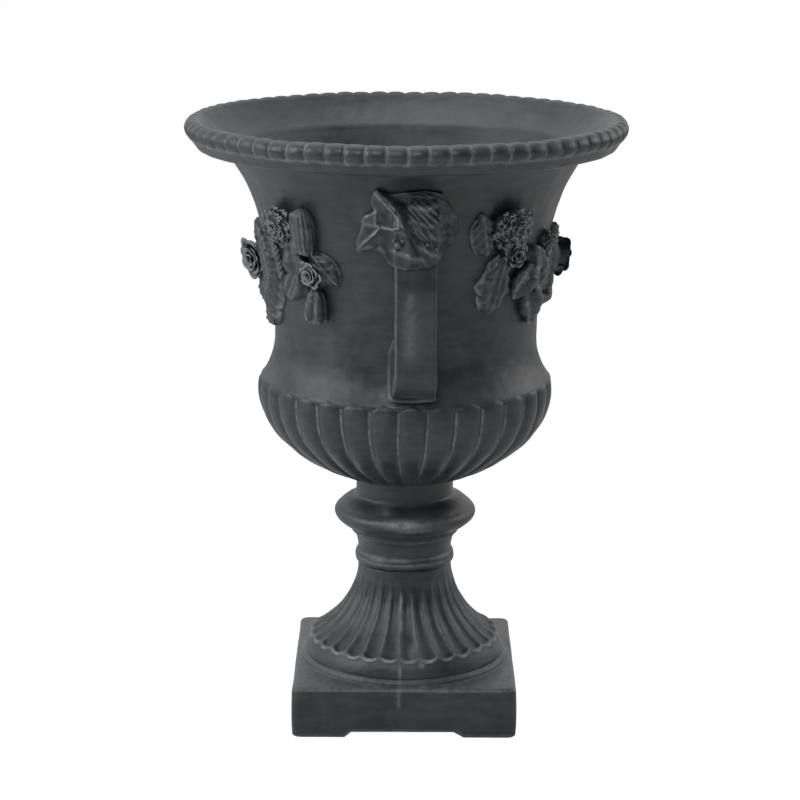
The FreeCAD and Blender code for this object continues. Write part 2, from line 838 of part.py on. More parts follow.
def make_dowels():
    """Four steel pins, two in each handle, each a separate solid."""
    pins = []
    for half_turn in (-90.0, 90.0):
        for which in ("upper", "lower"):
            height = size(which + "_dowel_height")
            pin = document.addObject("Part::Cylinder", "dowel_%s_%d" % (which, half_turn > 0))
            start = dowel_inner_end(height)
            length = size("dowel_wall_depth") + size("dowel_handle_depth")
            pin.setExpression("Radius", size("dowel_radius").text)
            pin.setExpression("Height", length.text)
            heading = turn + half_turn
            spin = FreeCAD.Rotation(FreeCAD.Vector(0, 0, 1), heading.value)
            lay = FreeCAD.Rotation(FreeCAD.Vector(0, 1, 0), 90)
            base = spin.multVec(FreeCAD.Vector(start.value, 0, 0))
            level = bell_base + height
            pin.Placement = FreeCAD.Placement(FreeCAD.Vector(base.x, base.y, level.value), spin.multiply(lay))
            pin.setExpression(".Placement.Base.x", (start * cosine(heading)).text)
            pin.setExpression(".Placement.Base.y", (start * sine(heading)).text)
            pin.setExpression(".Placement.Base.z", level.text)
            pins.append(pin)
    group = document.addObject("Part::Compound", "handle_dowels")
    group.Label = "handle_dowels"
    group.Links = pins
    return group


# ---- tie rod ----


def make_fastenings():
    low = size("plinth_height") - size("plinth_roof") - size("washer_thickness") - size("nut_height")
    high = bowl_base + size("bowl_floor_height") + size("washer_thickness") + size("nut_height")
    spare = size("rod_end_spare")
    rod = document.addObject("Part::Cylinder", "tie_rod")
    rod.Label = "tie_rod"
    rod.setExpression("Radius", size("rod_radius").text)
    rod.setExpression("Height", (high - low + spare * 2).text)
    place(rod, low - spare)
    nuts, washers = [], []
    hole = size("rod_radius") + gap / 2
    for end, nut_base, washer_base in (
        ("lower", low, low + size("nut_height")),
        ("upper", high - size("nut_height"), high - size("nut_height") - size("washer_thickness")),
    ):
        nut = document.addObject("Part::Prism", "nut_block_" + end)
        nut.Polygon = 6
        nut.setExpression("Circumradius", (size("nut_across_flats") / math.sqrt(3)).text)
        nut.setExpression("Height", size("nut_height").text)
        place(nut, nut_base)
        nuts.append(holed(nut, hole, nut_base, size("nut_height"), "nut_" + end))
        washer = document.addObject("Part::Cylinder", "washer_disc_" + end)
        washer.setExpression("Radius", size("washer_radius").text)
        washer.setExpression("Height", size("washer_thickness").text)
        place(washer, washer_base)
        washers.append(holed(washer, hole, washer_base, size("washer_thickness"), "washer_" + end))
    groups = []
    for name, items in (("tie_rod_nuts", nuts), ("tie_rod_washers", washers)):
        group = document.addObject("Part::Compound", name)
        group.Label = name
        group.Links = items
        groups.append(group)
    return [rod] + groups


def holed(block, radius, base, height, name):
    drill = document.addObject("Part::Cylinder", name + "_bore")
    drill.setExpression("Radius", radius.text)
    drill.setExpression("Height", height.text)
    place(drill, base)
    cut = document.addObject("Part::Cut", name)
    cut.Base = block
    cut.Tool = drill
    return cut


# ---- ornament: leaves and flowers seated on the wall ----


def wall_frame(degrees, height, spin):
    """A placement on the wall: X to the right along it, Y up it, Z straight out, then turned by spin."""
    radius = bell_radius_at(height)
    slope = (bell_radius_at(height + 1) - bell_radius_at(height - 1)) / 2
    lean = math.degrees(math.atan(slope))
    position = FreeCAD.Vector(0, -radius, height)
    upright = FreeCAD.Rotation(FreeCAD.Vector(1, 0, 0), 90 + lean)
    around = FreeCAD.Rotation(FreeCAD.Vector(0, 0, 1), degrees)
    placement = FreeCAD.Placement(around.multVec(position), around.multiply(upright))
    spun = FreeCAD.Rotation(FreeCAD.Vector(0, 0, 1), spin)
    return placement.multiply(FreeCAD.Placement(FreeCAD.Vector(), spun))


def turned_shape(points, axis=FreeCAD.Vector(0, 0, 1)):
    """Turn an outline of (out, along) points round an axis; three-point items are (via, to) arcs."""
    edges = []
    here = points[0]
    for item in points[1:]:
        if len(item) == 2:
            edges.append(Part.LineSegment(to_plane(here, axis), to_plane(item, axis)).toShape())
            here = item
        else:
            via, end = item[:2], item[2:]
            edges.append(Part.Arc(to_plane(here, axis), to_plane(via, axis), to_plane(end, axis)).toShape())
            here = end
    edges.append(Part.LineSegment(to_plane(here, axis), to_plane(points[0], axis)).toShape())
    face = Part.Face(Part.Wire(edges))
    return face.revolve(FreeCAD.Vector(), axis, 360)


def to_plane(point, axis):
    out, along = point
    return FreeCAD.Vector(out, 0, 0) + axis * along


def rose(width, proud, sunk):
    """Three rings of petals round a raised bud."""
    r, h = width / 2, proud
    return turned_shape([
        (0, -sunk), (r * 0.8, -sunk), (r * 0.98, h * 0.1, r * 0.86, h * 0.45),
        (r * 0.74, h * 0.5), (r * 0.74, h * 0.74, r * 0.6, h * 0.78),
        (r * 0.48, h * 0.72), (r * 0.46, h * 0.95, r * 0.3, h), (0, h * 0.92),
    ])


def carnation(width, proud, sunk):
    """A dome of ruffled petals, drawn as balls round a middle one."""
    r = width / 2
    base = turned_shape([
        (0, -sunk), (r * 0.8, -sunk), (r * 0.8, proud * 0.3), (r * 0.5, proud * 0.6), (0, proud * 0.7),
    ])
    ruffle = r * 0.4
    balls = [Part.makeSphere(ruffle * 1.15, FreeCAD.Vector(0, 0, proud - ruffle * 1.15))]
    petals = 7
    for k in range(petals):
        angle = 2 * math.pi * k / petals
        middle = FreeCAD.Vector(r * 0.6 * math.cos(angle), r * 0.6 * math.sin(angle), proud * 0.42)
        balls.append(Part.makeSphere(ruffle, middle))
    return base.multiFuse(balls).removeSplitter()


def hanging(width, length, proud, tip, sunk):
    """A fruit, bud or bell flower: turned about an axis along the wall, mouth or tip downwards."""
    r = width / 2
    lift = proud - r
    shape = turned_shape([
        (0, -length / 2), (r * tip, -length / 2),
        (r * (0.75 + tip * 0.3), -length * 0.36, r, -length * 0.08),
        (r * 0.86, length * 0.28, r * 0.28, length / 2), (0, length / 2),
    ], FreeCAD.Vector(0, 1, 0))
    shape.translate(FreeCAD.Vector(0, 0, lift))
    prism = Part.makeBox(width * 0.7, length * 0.7, sunk + max(lift, 1),
                         FreeCAD.Vector(-width * 0.35, -length * 0.35, -sunk))
    return shape.fuse(prism).removeSplitter()


def stalk(width, length, proud, sunk):
    """A round stalk lying along the wall, with a web behind it."""
    r = width / 2
    bar = Part.makeCylinder(r, length, FreeCAD.Vector(0, -length / 2, proud - r), FreeCAD.Vector(0, 1, 0))
    web = Part.makeBox(width * 0.8, length * 0.96, sunk + proud - r,
                       FreeCAD.Vector(-width * 0.4, -length * 0.48, -sunk))
    return bar.fuse(web).removeSplitter()


def leaf(width, length, proud, sunk, belly=0.4):
    """A pointed leaf with a raised midrib: a leaf outline cut from a ridged bar."""
    w, l = width / 2, length / 2
    widest = length * (belly - 0.5)
    tip, stalk = FreeCAD.Vector(0, -l, 0), FreeCAD.Vector(0, l, 0)
    sides = []
    for way in (1, -1):
        sides.append(Part.Arc(tip, FreeCAD.Vector(way * w, widest, 0), stalk).toShape())
    outline = Part.Face(Part.Wire(sides))
    outline.translate(FreeCAD.Vector(0, 0, -sunk))
    blank = outline.extrude(FreeCAD.Vector(0, 0, sunk + proud + 1))
    edge = proud * 0.55
    ridge = Part.makePolygon([
        FreeCAD.Vector(-w - 2, -l - 1, -sunk - 1), FreeCAD.Vector(w + 2, -l - 1, -sunk - 1),
        FreeCAD.Vector(w + 2, -l - 1, edge), FreeCAD.Vector(0, -l - 1, proud),
        FreeCAD.Vector(-w - 2, -l - 1, edge), FreeCAD.Vector(-w - 2, -l - 1, -sunk - 1),
    ])
    bar = Part.Face(ridge).extrude(FreeCAD.Vector(0, length + 2, 0))
    return blank.common(bar)


# Each sprig: name, maker, degrees from the garland's middle (positive to the right, seen from outside),
# height from the garland's middle line, turn in the wall's plane, then the maker's own sizes.
SPRIGS = [
    ("rose_middle", rose, -3, -6, 0, (48, 32)),
    ("rose_end", rose, 51, -2, 0, (33, 22)),
    ("carnation_high", carnation, 35.5, 49, 0, (40, 22)),
    ("carnation_end", carnation, -52, 50, 0, (47, 24)),
    ("daisy", rose, -49, 20, 0, (32, 17)),
    ("thistle", hanging, 47.5, 48, -6, (29, 50, 22, 0.8)),
    ("pear", hanging, 40, 14, 6, (30, 40, 22, 0.3)),
    ("lily_bud", hanging, 49.5, -38, -6, (28, 40, 22, 0.7)),
    ("tulip_high", hanging, -39.5, -15, -42, (34, 48, 23, 0.3)),
    ("tulip_low", hanging, -32.5, -43, 14, (35, 50, 22, 0.3)),
    ("seed_head", carnation, -24, 24, 0, (26, 17)),
    ("leaf_veined", leaf, 17, -30, -42, (50, 74, 12)),
    ("leaf_curved", leaf, 17, 3, 12, (32, 60, 13)),
    ("leaf_tall", leaf, -8, 17, -6, (30, 46, 11)),
    ("leaf_lobed", leaf, -63.5, 46, 16, (34, 48, 10)),
    ("leaf_ribbed", leaf, -55, -12, -8, (44, 66, 13)),
    ("leaf_spiky", leaf, -5, -32, 8, (40, 56, 17)),
    ("leaf_side", leaf, 54.5, 7, 45, (27, 46, 9)),
    ("leaf_smooth", leaf, 38, -18, -30, (32, 42, 12)),
    ("leaf_low", leaf, 13, -60, 6, (42, 33, 11)),
    ("leaf_crest", leaf, -32, 8, 30, (30, 38, 13)),
    ("leaf_inner", leaf, -20, -8, -14, (34, 58, 12)),
    ("twisted_stem", stalk, 30, 10, 8, (9, 46, 12)),
]


def largest(shape):
    return max(shape.Solids, key=lambda solid: solid.Volume)


def make_garland(side, middle):
    """The sprigs of one side, flowers and fruit first, so that leaves are cut back round them."""
    form = document.getObject("wall_form")
    seat = form.Shape.copy()
    seat.Placement = FreeCAD.Placement()
    sunk = size("sprig_depth").value
    nodes, standing = [], []
    for name, maker, degrees, rise, spin, sizes in SPRIGS:
        height = size("garland_height").value + rise
        shape = maker(*sizes, sunk)
        shape.Placement = wall_frame(middle + degrees, height, spin)
        shape = shape.cut(seat)
        box = shape.optimalBoundingBox()
        close = [other for other, room in standing if room.intersect(box)]
        for other in close:
            shape = shape.cut(other)
        shape = largest(shape)
        standing.append((shape.copy(), shape.optimalBoundingBox()))
        node = document.addObject("Part::Feature", "%s_%s" % (side, name))
        node.Label = "%s_%s" % (side, name)
        node.Shape = shape
        place(node, bell_base)
        nodes.append(node)
    return nodes


def leaf_lobes():
    """Five pointed lobes of the leaf that caps a handle, as (across, up) from the leaf's middle."""
    half = size("leaf_width").value / 2
    top, low = size("leaf_top_height").value, size("leaf_bottom_height").value
    tall = top - low
    shares = [
        (-0.10, 1.0), (-0.64, 0.92), (-0.52, 0.66), (-1.0, 0.52), (-0.78, 0.36),
        (-0.98, 0.06), (-0.42, 0.12), (0.0, 0.0), (0.46, 0.1), (0.86, 0.04),
        (0.84, 0.32), (1.0, 0.5), (0.74, 0.7), (0.66, 0.92), (0.2, 0.96),
    ]
    return [(across * half, low + up * tall) for across, up in shares]


def make_handle_leaf(side, half_turn):
    """A leaf draped over the root of a handle, seated on the wall and on the strap."""
    lobes = leaf_lobes()
    points = [FreeCAD.Vector(across, -300, up) for across, up in lobes]
    outline = Part.Face(Part.makePolygon(points + points[:1]))
    blank = outline.extrude(FreeCAD.Vector(0, 200, 0))
    half = size("leaf_width").value / 2 + 6
    top, low = size("leaf_top_height").value, size("leaf_bottom_height").value
    reach = size("strap_reach").value + size("leaf_proud").value
    back = size("waist_radius").value
    dome = Part.makeSphere(1)
    stretch = FreeCAD.Matrix()
    stretch.scale(half, reach - back, (top - low) * 0.86)
    dome = dome.transformGeometry(stretch)
    dome.translate(FreeCAD.Vector(0, -back, low + (top - low) * 0.36))
    shape = blank.common(dome)
    seat = document.getObject("wall_form").Shape.copy()
    seat.Placement = FreeCAD.Placement()
    handle = document.getObject("handle_%s_casting" % side).Shape.copy()
    handle.Placement = FreeCAD.Placement(FreeCAD.Vector(), FreeCAD.Rotation(FreeCAD.Vector(0, 0, 1), -90))
    shape = shape.cut(seat).cut(handle)
    node = document.addObject("Part::Feature", "handle_leaf_%s" % side)
    node.Label = "handle_leaf_%s" % side
    node.Shape = largest(shape)
    place(node, bell_base, True, half_turn + 90)
    return node


# ---- build ----

nodes = [make_plinth(), make_foot(), make_stem(), make_bowl(), make_bell(), make_rim()]
make_wall_form()
document.recompute()
nodes += [make_handle("front", -90.0), make_handle("back", 90.0)]
nodes += [make_dowels()] + make_fastenings()
document.recompute()
nodes += [make_handle_leaf("front", -90.0), make_handle_leaf("back", 90.0)]
nodes += make_garland("left", -90.0) + make_garland("right", 90.0)
document.recompute()

for item in document.Objects:
    if "Invalid" in item.State or "Error" in item.State:
        raise RuntimeError("%s failed: %s" % (item.Label, item.State))
os.makedirs("parts", exist_ok=True)
for node in nodes:
    shape = node.Shape
    if shape.isNull() or not shape.isValid() or not shape.Solids:
        raise RuntimeError("%s has no valid solid" % node.Label)
    shape.exportStep("parts/%s.step" % node.Label)
    box = shape.BoundBox
    print("%-24s %2d solid(s) %12.0f mm3  z %.1f to %.1f" % (
        node.Label, len(shape.Solids), shape.Volume, box.ZMin, box.ZMax))
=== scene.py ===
import math

import bpy
import numpy as np
from mathutils import Matrix, Vector, noise


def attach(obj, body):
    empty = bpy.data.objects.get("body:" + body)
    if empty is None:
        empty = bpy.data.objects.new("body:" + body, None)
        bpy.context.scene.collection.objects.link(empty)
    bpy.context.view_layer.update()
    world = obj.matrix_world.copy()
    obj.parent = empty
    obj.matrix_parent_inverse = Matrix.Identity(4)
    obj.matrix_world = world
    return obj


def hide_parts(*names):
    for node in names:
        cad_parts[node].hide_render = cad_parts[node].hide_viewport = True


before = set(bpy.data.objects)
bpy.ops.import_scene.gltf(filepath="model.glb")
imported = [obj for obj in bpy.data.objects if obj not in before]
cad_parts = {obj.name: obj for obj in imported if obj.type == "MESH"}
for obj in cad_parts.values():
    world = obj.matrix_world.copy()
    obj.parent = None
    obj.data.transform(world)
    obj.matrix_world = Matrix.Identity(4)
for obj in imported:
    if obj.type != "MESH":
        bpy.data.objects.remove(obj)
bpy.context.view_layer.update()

# A garden urn on a square plinth, seen from the front (-Y). Sizes in the dictionaries are in millimetres
# and degrees, and meshes are made in metres.

mm = 0.001

urn = {
    "turn": 3.0,       # everything above the plinth is turned this far on it
    "footBase": 68.0,  # heights of the joints between the castings
    "stemBase": 177.0,
    "bowlBase": 288.0,
    "bellBase": 404.0,
    "rimBase": 676.0,
    "wobble": 1.1,     # how far the hand-made surface strays
    "wobbleSize": 70.0,
}
drains = {"count": 3, "circle": 22.0, "radius": 6.0}
print("frame loaded:", len(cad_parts), "nodes")


def linearColour(text):
    channels = [int(text[i:i + 2], 16) / 255 for i in (1, 3, 5)]
    return [c / 12.92 if c <= 0.04045 else ((c + 0.055) / 1.055) ** 2.4 for c in channels] + [1.0]


def addNode(tree, kind, settings=None, links=None):
    node = tree.nodes.new(kind)
    placed = len(tree.nodes)
    node.location = (placed % 8 * 190, -(placed // 8) * 300)
    for name, value in (settings or {}).items():
        setattr(node, name, value)
    for name, value in (links or {}).items():
        if isinstance(value, bpy.types.NodeSocket):
            tree.links.new(value, node.inputs[name])
        else:
            node.inputs[name].default_value = value
    return node


# ---- finishes ----

paintedStone = {
    "paint": "#1c1e21",        # charcoal masonry paint, a little blue
    "worn": "#33363a",         # where it has been brushed thin
    # The chalk colour is also the colour of the painted highlights, laid on through the same mask.
    "chalk": "#a3a5a8",        # pale filler dust left in the hollows
    "roughness": 0.43,
    "blotchSize": 60.0,        # mm across a smear of thinner paint
    "strokeSize": 34.0,        # mm along a brush stroke, and how many times longer than wide it is
    "strokeStretch": 4.0,
    "grainSize": 1.6,          # mm, cast sand grain, drawn coarser than the real 0.5 so that it shows
    "grainHeight": 0.10,
    "dentSize": 16.0,
    "dentHeight": 0.75,
}


def makePaintedStone(name, options):
    # Cast stone under a thin brushed masonry paint: satin, mottled, with dust caught in its hollows, and with painted
    # highlights in the same pale colour.
    material = bpy.data.materials.new(name)
    material.use_nodes = True
    tree = material.node_tree
    tree.nodes.clear()
    place = addNode(tree, "ShaderNodeTexCoord").outputs["Object"]
    blotch = addNode(tree, "ShaderNodeTexNoise", {}, {
        "Vector": place, "Scale": 1 / (options["blotchSize"] * mm), "Detail": 4.0, "Roughness": 0.6,
        "Distortion": 0.6})
    level = addNode(tree, "ShaderNodeMapping", {}, {"Vector": place, "Scale": (1.0, 1.0, options["strokeStretch"])})
    stroke = addNode(tree, "ShaderNodeTexNoise", {}, {
        "Vector": level.outputs["Vector"], "Scale": 1 / (options["strokeSize"] * mm), "Detail": 4.0,
        "Roughness": 0.6})
    brushed = addNode(tree, "ShaderNodeMapRange", {}, {
        "Value": stroke.outputs["Fac"], "From Min": 0.40, "From Max": 0.68, "To Max": 0.55})
    thin = addNode(tree, "ShaderNodeMapRange", {"clamp": False}, {
        "Value": blotch.outputs["Fac"], "From Min": 0.40, "From Max": 0.72})
    worn = addNode(tree, "ShaderNodeMath", {"operation": "ADD", "use_clamp": True})
    tree.links.new(brushed.outputs["Result"], worn.inputs[0])
    tree.links.new(thin.outputs["Result"], worn.inputs[1])
    base = addNode(tree, "ShaderNodeMix", {"data_type": "RGBA"}, {"Factor": worn.outputs[0]})
    base.inputs[6].default_value = linearColour(options["paint"])
    base.inputs[7].default_value = linearColour(options["worn"])
    # Dust and painted highlights lie where the mesh says so, broken up so that no line of them is even.
    rub = addNode(tree, "ShaderNodeAttribute", {"attribute_name": "rub"}).outputs["Fac"]
    patch = addNode(tree, "ShaderNodeTexNoise", {}, {
        "Vector": place, "Scale": 1 / (9 * mm), "Detail": 5.0, "Roughness": 0.65})
    broken = addNode(tree, "ShaderNodeMapRange", {}, {
        "Value": patch.outputs["Fac"], "From Min": 0.30, "From Max": 0.62, "To Min": 0.12})
    brokenDustAndHighlight = addNode(tree, "ShaderNodeMath", {"operation": "MULTIPLY"})
    tree.links.new(rub, brokenDustAndHighlight.inputs[0])
    tree.links.new(broken.outputs["Result"], brokenDustAndHighlight.inputs[1])
    speck = addNode(tree, "ShaderNodeTexNoise", {}, {
        "Vector": place, "Scale": 1 / (3.2 * mm), "Detail": 3.0, "Roughness": 0.7})
    fleck = addNode(tree, "ShaderNodeMapRange", {}, {
        "Value": speck.outputs["Fac"], "From Min": 0.72, "From Max": 0.86, "To Max": 0.12})
    chalkAndHighlightShare = addNode(tree, "ShaderNodeMath", {"operation": "ADD", "use_clamp": True})
    tree.links.new(brokenDustAndHighlight.outputs[0], chalkAndHighlightShare.inputs[0])
    tree.links.new(fleck.outputs["Result"], chalkAndHighlightShare.inputs[1])
    colour = addNode(tree, "ShaderNodeMix", {"data_type": "RGBA"}, {"Factor": chalkAndHighlightShare.outputs[0]})
    tree.links.new(base.outputs[2], colour.inputs[6])
    colour.inputs[7].default_value = linearColour(options["chalk"])
    gloss = addNode(tree, "ShaderNodeMapRange", {}, {
        "Value": blotch.outputs["Fac"], "From Min": 0.3, "From Max": 0.7,
        "To Min": options["roughness"] - 0.07, "To Max": options["roughness"] + 0.10})
    dull = addNode(tree, "ShaderNodeMath", {"operation": "MULTIPLY_ADD", "use_clamp": True})
    tree.links.new(chalkAndHighlightShare.outputs[0], dull.inputs[0])
    dull.inputs[1].default_value = 0.3
    tree.links.new(gloss.outputs["Result"], dull.inputs[2])
    grain = addNode(tree, "ShaderNodeTexNoise", {}, {
        "Vector": place, "Scale": 1 / (options["grainSize"] * mm), "Detail": 2.0})
    dents = addNode(tree, "ShaderNodeTexNoise", {}, {
        "Vector": place, "Scale": 1 / (options["dentSize"] * mm), "Detail": 3.0})
    low = addNode(tree, "ShaderNodeBump", {}, {
        "Height": dents.outputs["Fac"], "Distance": options["dentHeight"] * mm, "Strength": 1.0})
    fine = addNode(tree, "ShaderNodeBump", {}, {
        "Height": grain.outputs["Fac"], "Distance": options["grainHeight"] * mm, "Strength": 1.0,
        "Normal": low.outputs["Normal"]})
    shader = addNode(tree, "ShaderNodeBsdfPrincipled", {}, {
        "Base Color": colour.outputs[2], "Roughness": dull.outputs[0], "Normal": fine.outputs["Normal"],
        "IOR": 1.5})
    addNode(tree, "ShaderNodeOutputMaterial", {}, {"Surface": shader.outputs["BSDF"]})
    return material


zincSteel = {"colour": "#b9bcc0", "roughness": 0.38}


def makeZincSteel(name, options):
    # Mild steel rod and pins, turned and zinc plated: a soft bright metal, not polished.
    material = bpy.data.materials.new(name)
    material.use_nodes = True
    shader = material.node_tree.nodes["Principled BSDF"]
    shader.inputs["Base Color"].default_value = linearColour(options["colour"])
    shader.inputs["Metallic"].default_value = 1.0
    shader.inputs["Roughness"].default_value = options["roughness"]
    return material


stonePaint = makePaintedStone("castStoneBrushPainted", paintedStone)
steelPlated = makeZincSteel("mildSteelZincPlated", zincSteel)
print("finishes made")


# ---- outlines, meshes and trees that several pieces share ----


def followOutline(corners, step, closed=True):
    # Points along an outline of (out, up) corners. A third number bends the edge to the next corner:
    # its radius, bulging to the right of the way round when positive. The step may be one for each edge.
    points, edges = [], []
    count = len(corners)
    for index in range(count if closed else count - 1):
        start = np.array(corners[index][:2], float)
        end = np.array(corners[(index + 1) % count][:2], float)
        chord = end - start
        length = float(np.hypot(*chord))
        bend = corners[index][2] if len(corners[index]) > 2 else 0.0
        if bend:
            left = np.array([-chord[1], chord[0]]) / length
            reach = math.sqrt(max(bend ** 2 - length ** 2 / 4, 0))
            centre = (start + end) / 2 + left * reach * np.sign(bend)
            first = math.atan2(*(start - centre)[::-1])
            sweep = math.atan2(*(end - centre)[::-1]) - first
            sweep = sweep % (2 * math.pi) if bend > 0 else -((-sweep) % (2 * math.pi))
            length = abs(sweep * bend)
        parts = max(1, round(length / (step[index] if isinstance(step, list) else step)))
        for part in range(parts):
            share = part / parts
            if bend:
                angle = first + sweep * share
                points.append(centre + abs(bend) * np.array([math.cos(angle), math.sin(angle)]))
            else:
                points.append(start + chord * share)
            edges.append(index)
    if not closed:
        points.append(np.array(corners[-1][:2], float))
        edges.append(count - 2)
    return np.array(points), np.array(edges)


def softenOutline(points, rounds):
    # Takes the sharpness off every corner, as a rubber mould and a coat of paint do.
    for turn in range(rounds):
        points = 0.5 * points + 0.25 * (np.roll(points, 1, axis=0) + np.roll(points, -1, axis=0))
    return points


def outwardOf(points):
    ahead = np.roll(points, -1, axis=0) - np.roll(points, 1, axis=0)
    ahead /= np.maximum(np.hypot(ahead[:, 0], ahead[:, 1])[:, None], 1e-9)
    return np.stack([ahead[:, 1], -ahead[:, 0]], axis=1)


def smoothStep(low, high, value):
    share = np.clip((value - low) / (high - low), 0, 1)
    return share * share * (3 - 2 * share)


def makeObject(name, points, faces, rub=None):
    mesh = bpy.data.meshes.new(name)
    mesh.from_pydata([tuple(point) for point in points], [], faces)
    mesh.update()
    shade = mesh.attributes.new("rub", "FLOAT", "POINT")
    shade.data.foreach_set("value", np.zeros(len(points)) if rub is None else np.clip(rub, 0, 1))
    mesh.shade_smooth()
    thing = bpy.data.objects.new(name, mesh)
    bpy.context.scene.collection.objects.link(thing)
    return thing


def gridFaces(rows, columns, closedRows=False, closedColumns=False, start=0):
    faces = []
    for row in range(rows if closedRows else rows - 1):
        for column in range(columns if closedColumns else columns - 1):
            nextRow, nextColumn = (row + 1) % rows, (column + 1) % columns
            faces.append((start + row * columns + column, start + row * columns + nextColumn,
                          start + nextRow * columns + nextColumn, start + nextRow * columns + column))
    return faces


def streakAndHighlight(piece, marks):
    # Pale marks on the front: run marks on the foot and plinth, and painted highlights on the stem's knop and the front
    # handle: (across, lowest, highest, width, strength), in mm.
    mesh = piece.data
    spots = np.zeros(len(mesh.vertices) * 3)
    mesh.vertices.foreach_get("co", spots)
    across, depth, up = spots.reshape(-1, 3).T / mm
    rub = np.zeros(len(mesh.vertices))
    mesh.attributes["rub"].data.foreach_get("value", rub)
    for middle, low, high, width, strength in marks:
        ends = smoothStep(low - 3, low + 3, up) * (1 - smoothStep(high - 3, high + 3, up))
        rub = np.maximum(rub, strength * ends * np.exp(-((across - middle) / width) ** 2) * (depth < 0))
    mesh.attributes["rub"].data.foreach_set("value", rub)
    return piece


def drillDrains(piece, low, high, turned):
    # The drain holes beside the rod's own hole.
    for index in range(drains["count"]):
        angle = 2 * math.pi * index / drains["count"] + math.radians(turned)
        centre = Vector((drains["circle"] * math.cos(angle), drains["circle"] * math.sin(angle), 0)) * mm
        rings = [[centre + Vector((math.cos(turn), math.sin(turn), 0)) * drains["radius"] * mm + Vector((0, 0, level * mm))
                  for turn in np.linspace(0, 2 * math.pi, 24, endpoint=False)] for level in (low, high)]
        faces = gridFaces(2, 24, closedColumns=True) + [tuple(reversed(range(24))), tuple(range(24, 48))]
        drill = makeObject("drill", rings[0] + rings[1], faces)
        cut = piece.modifiers.new("drain", "BOOLEAN")
        cut.object, cut.operation, cut.solver = drill, "DIFFERENCE", "EXACT"
        mesh = bpy.data.meshes.new_from_object(piece.evaluated_get(bpy.context.evaluated_depsgraph_get()))
        piece.modifiers.clear()
        piece.data = mesh
        bpy.data.objects.remove(drill)
    return piece


def finishPiece(piece, nodes, material=stonePaint):
    piece.data.materials.clear()
    piece.data.materials.append(material)
    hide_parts(*nodes)
    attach(piece, "root")
    print(piece.name, len(piece.data.polygons), "faces")
    return piece


def makeTree(name, inputs):
    tree = bpy.data.node_groups.new(name, "GeometryNodeTree")
    for label, kind in inputs:
        tree.interface.new_socket(name=label, in_out="INPUT", socket_type="NodeSocket" + kind)
    tree.interface.new_socket(name="Geometry", in_out="OUTPUT", socket_type="NodeSocketGeometry")
    given = addNode(tree, "NodeGroupInput").outputs
    return tree, given


def runTree(name, tree, values):
    # Sets the inputs, evaluates the tree once and keeps the result as a plain mesh.
    piece = bpy.data.objects.new(name, bpy.data.meshes.new(name))
    bpy.context.scene.collection.objects.link(piece)
    modifier = piece.modifiers.new("shape", "NODES")
    modifier.node_group = tree
    for item in tree.interface.items_tree:
        if item.in_out == "INPUT":
            modifier[item.identifier] = values[item.name]
    graph = bpy.context.evaluated_depsgraph_get()
    mesh = bpy.data.meshes.new_from_object(piece.evaluated_get(graph))
    piece.modifiers.clear()
    piece.data = mesh
    mesh.name = name
    return piece


def makeRingTree():
    # One segment of a casting, repeated round the upright axis, joined and given its hand-made wobble.
    tree, given = makeTree("segmentRing", [
        ("Segment", "Object"), ("Count", "Int"), ("Turn", "Float"), ("Join Distance", "Float"),
        ("Wobble", "Float"), ("Wobble Scale", "Float"), ("Finish", "Material")])
    segment = addNode(tree, "GeometryNodeObjectInfo", {}, {"Object": given["Segment"]})
    spots = addNode(tree, "GeometryNodeMeshLine", {}, {
        "Count": given["Count"], "Offset": (0.0, 0.0, 0.0)})
    index = addNode(tree, "GeometryNodeInputIndex")
    pitch = addNode(tree, "ShaderNodeMath", {"operation": "DIVIDE"})
    pitch.inputs[0].default_value = 2 * math.pi
    tree.links.new(given["Count"], pitch.inputs[1])
    angle = addNode(tree, "ShaderNodeMath", {"operation": "MULTIPLY_ADD"})
    tree.links.new(index.outputs[0], angle.inputs[0])
    tree.links.new(pitch.outputs[0], angle.inputs[1])
    tree.links.new(given["Turn"], angle.inputs[2])
    spin = addNode(tree, "ShaderNodeCombineXYZ", {}, {"Z": angle.outputs[0]})
    copies = addNode(tree, "GeometryNodeInstanceOnPoints", {}, {
        "Points": spots.outputs["Mesh"], "Instance": segment.outputs["Geometry"],
        "Rotation": spin.outputs["Vector"]})
    whole = addNode(tree, "GeometryNodeRealizeInstances", {}, {"Geometry": copies.outputs["Instances"]})
    joined = addNode(tree, "GeometryNodeMergeByDistance", {}, {
        "Geometry": whole.outputs["Geometry"], "Distance": given["Join Distance"]})
    place = addNode(tree, "GeometryNodeInputPosition")
    drift = addNode(tree, "ShaderNodeTexNoise", {"normalize": False}, {
        "Vector": place.outputs["Position"], "Scale": given["Wobble Scale"], "Detail": 3.0, "Roughness": 0.55})
    offset = addNode(tree, "ShaderNodeVectorMath", {"operation": "SCALE"}, {
        "Scale": given["Wobble"]})
    tree.links.new(drift.outputs["Color"], offset.inputs[0])
    moved = addNode(tree, "GeometryNodeSetPosition", {}, {
        "Geometry": joined.outputs["Geometry"], "Offset": offset.outputs["Vector"]})
    smooth = addNode(tree, "GeometryNodeSetShadeSmooth", {}, {"Geometry": moved.outputs["Geometry"]})
    painted = addNode(tree, "GeometryNodeSetMaterial", {}, {
        "Geometry": smooth.outputs["Geometry"], "Material": given["Finish"]})
    addNode(tree, "NodeGroupOutput", {}, {"Geometry": painted.outputs["Geometry"]})
    return tree


segmentRing = makeRingTree()


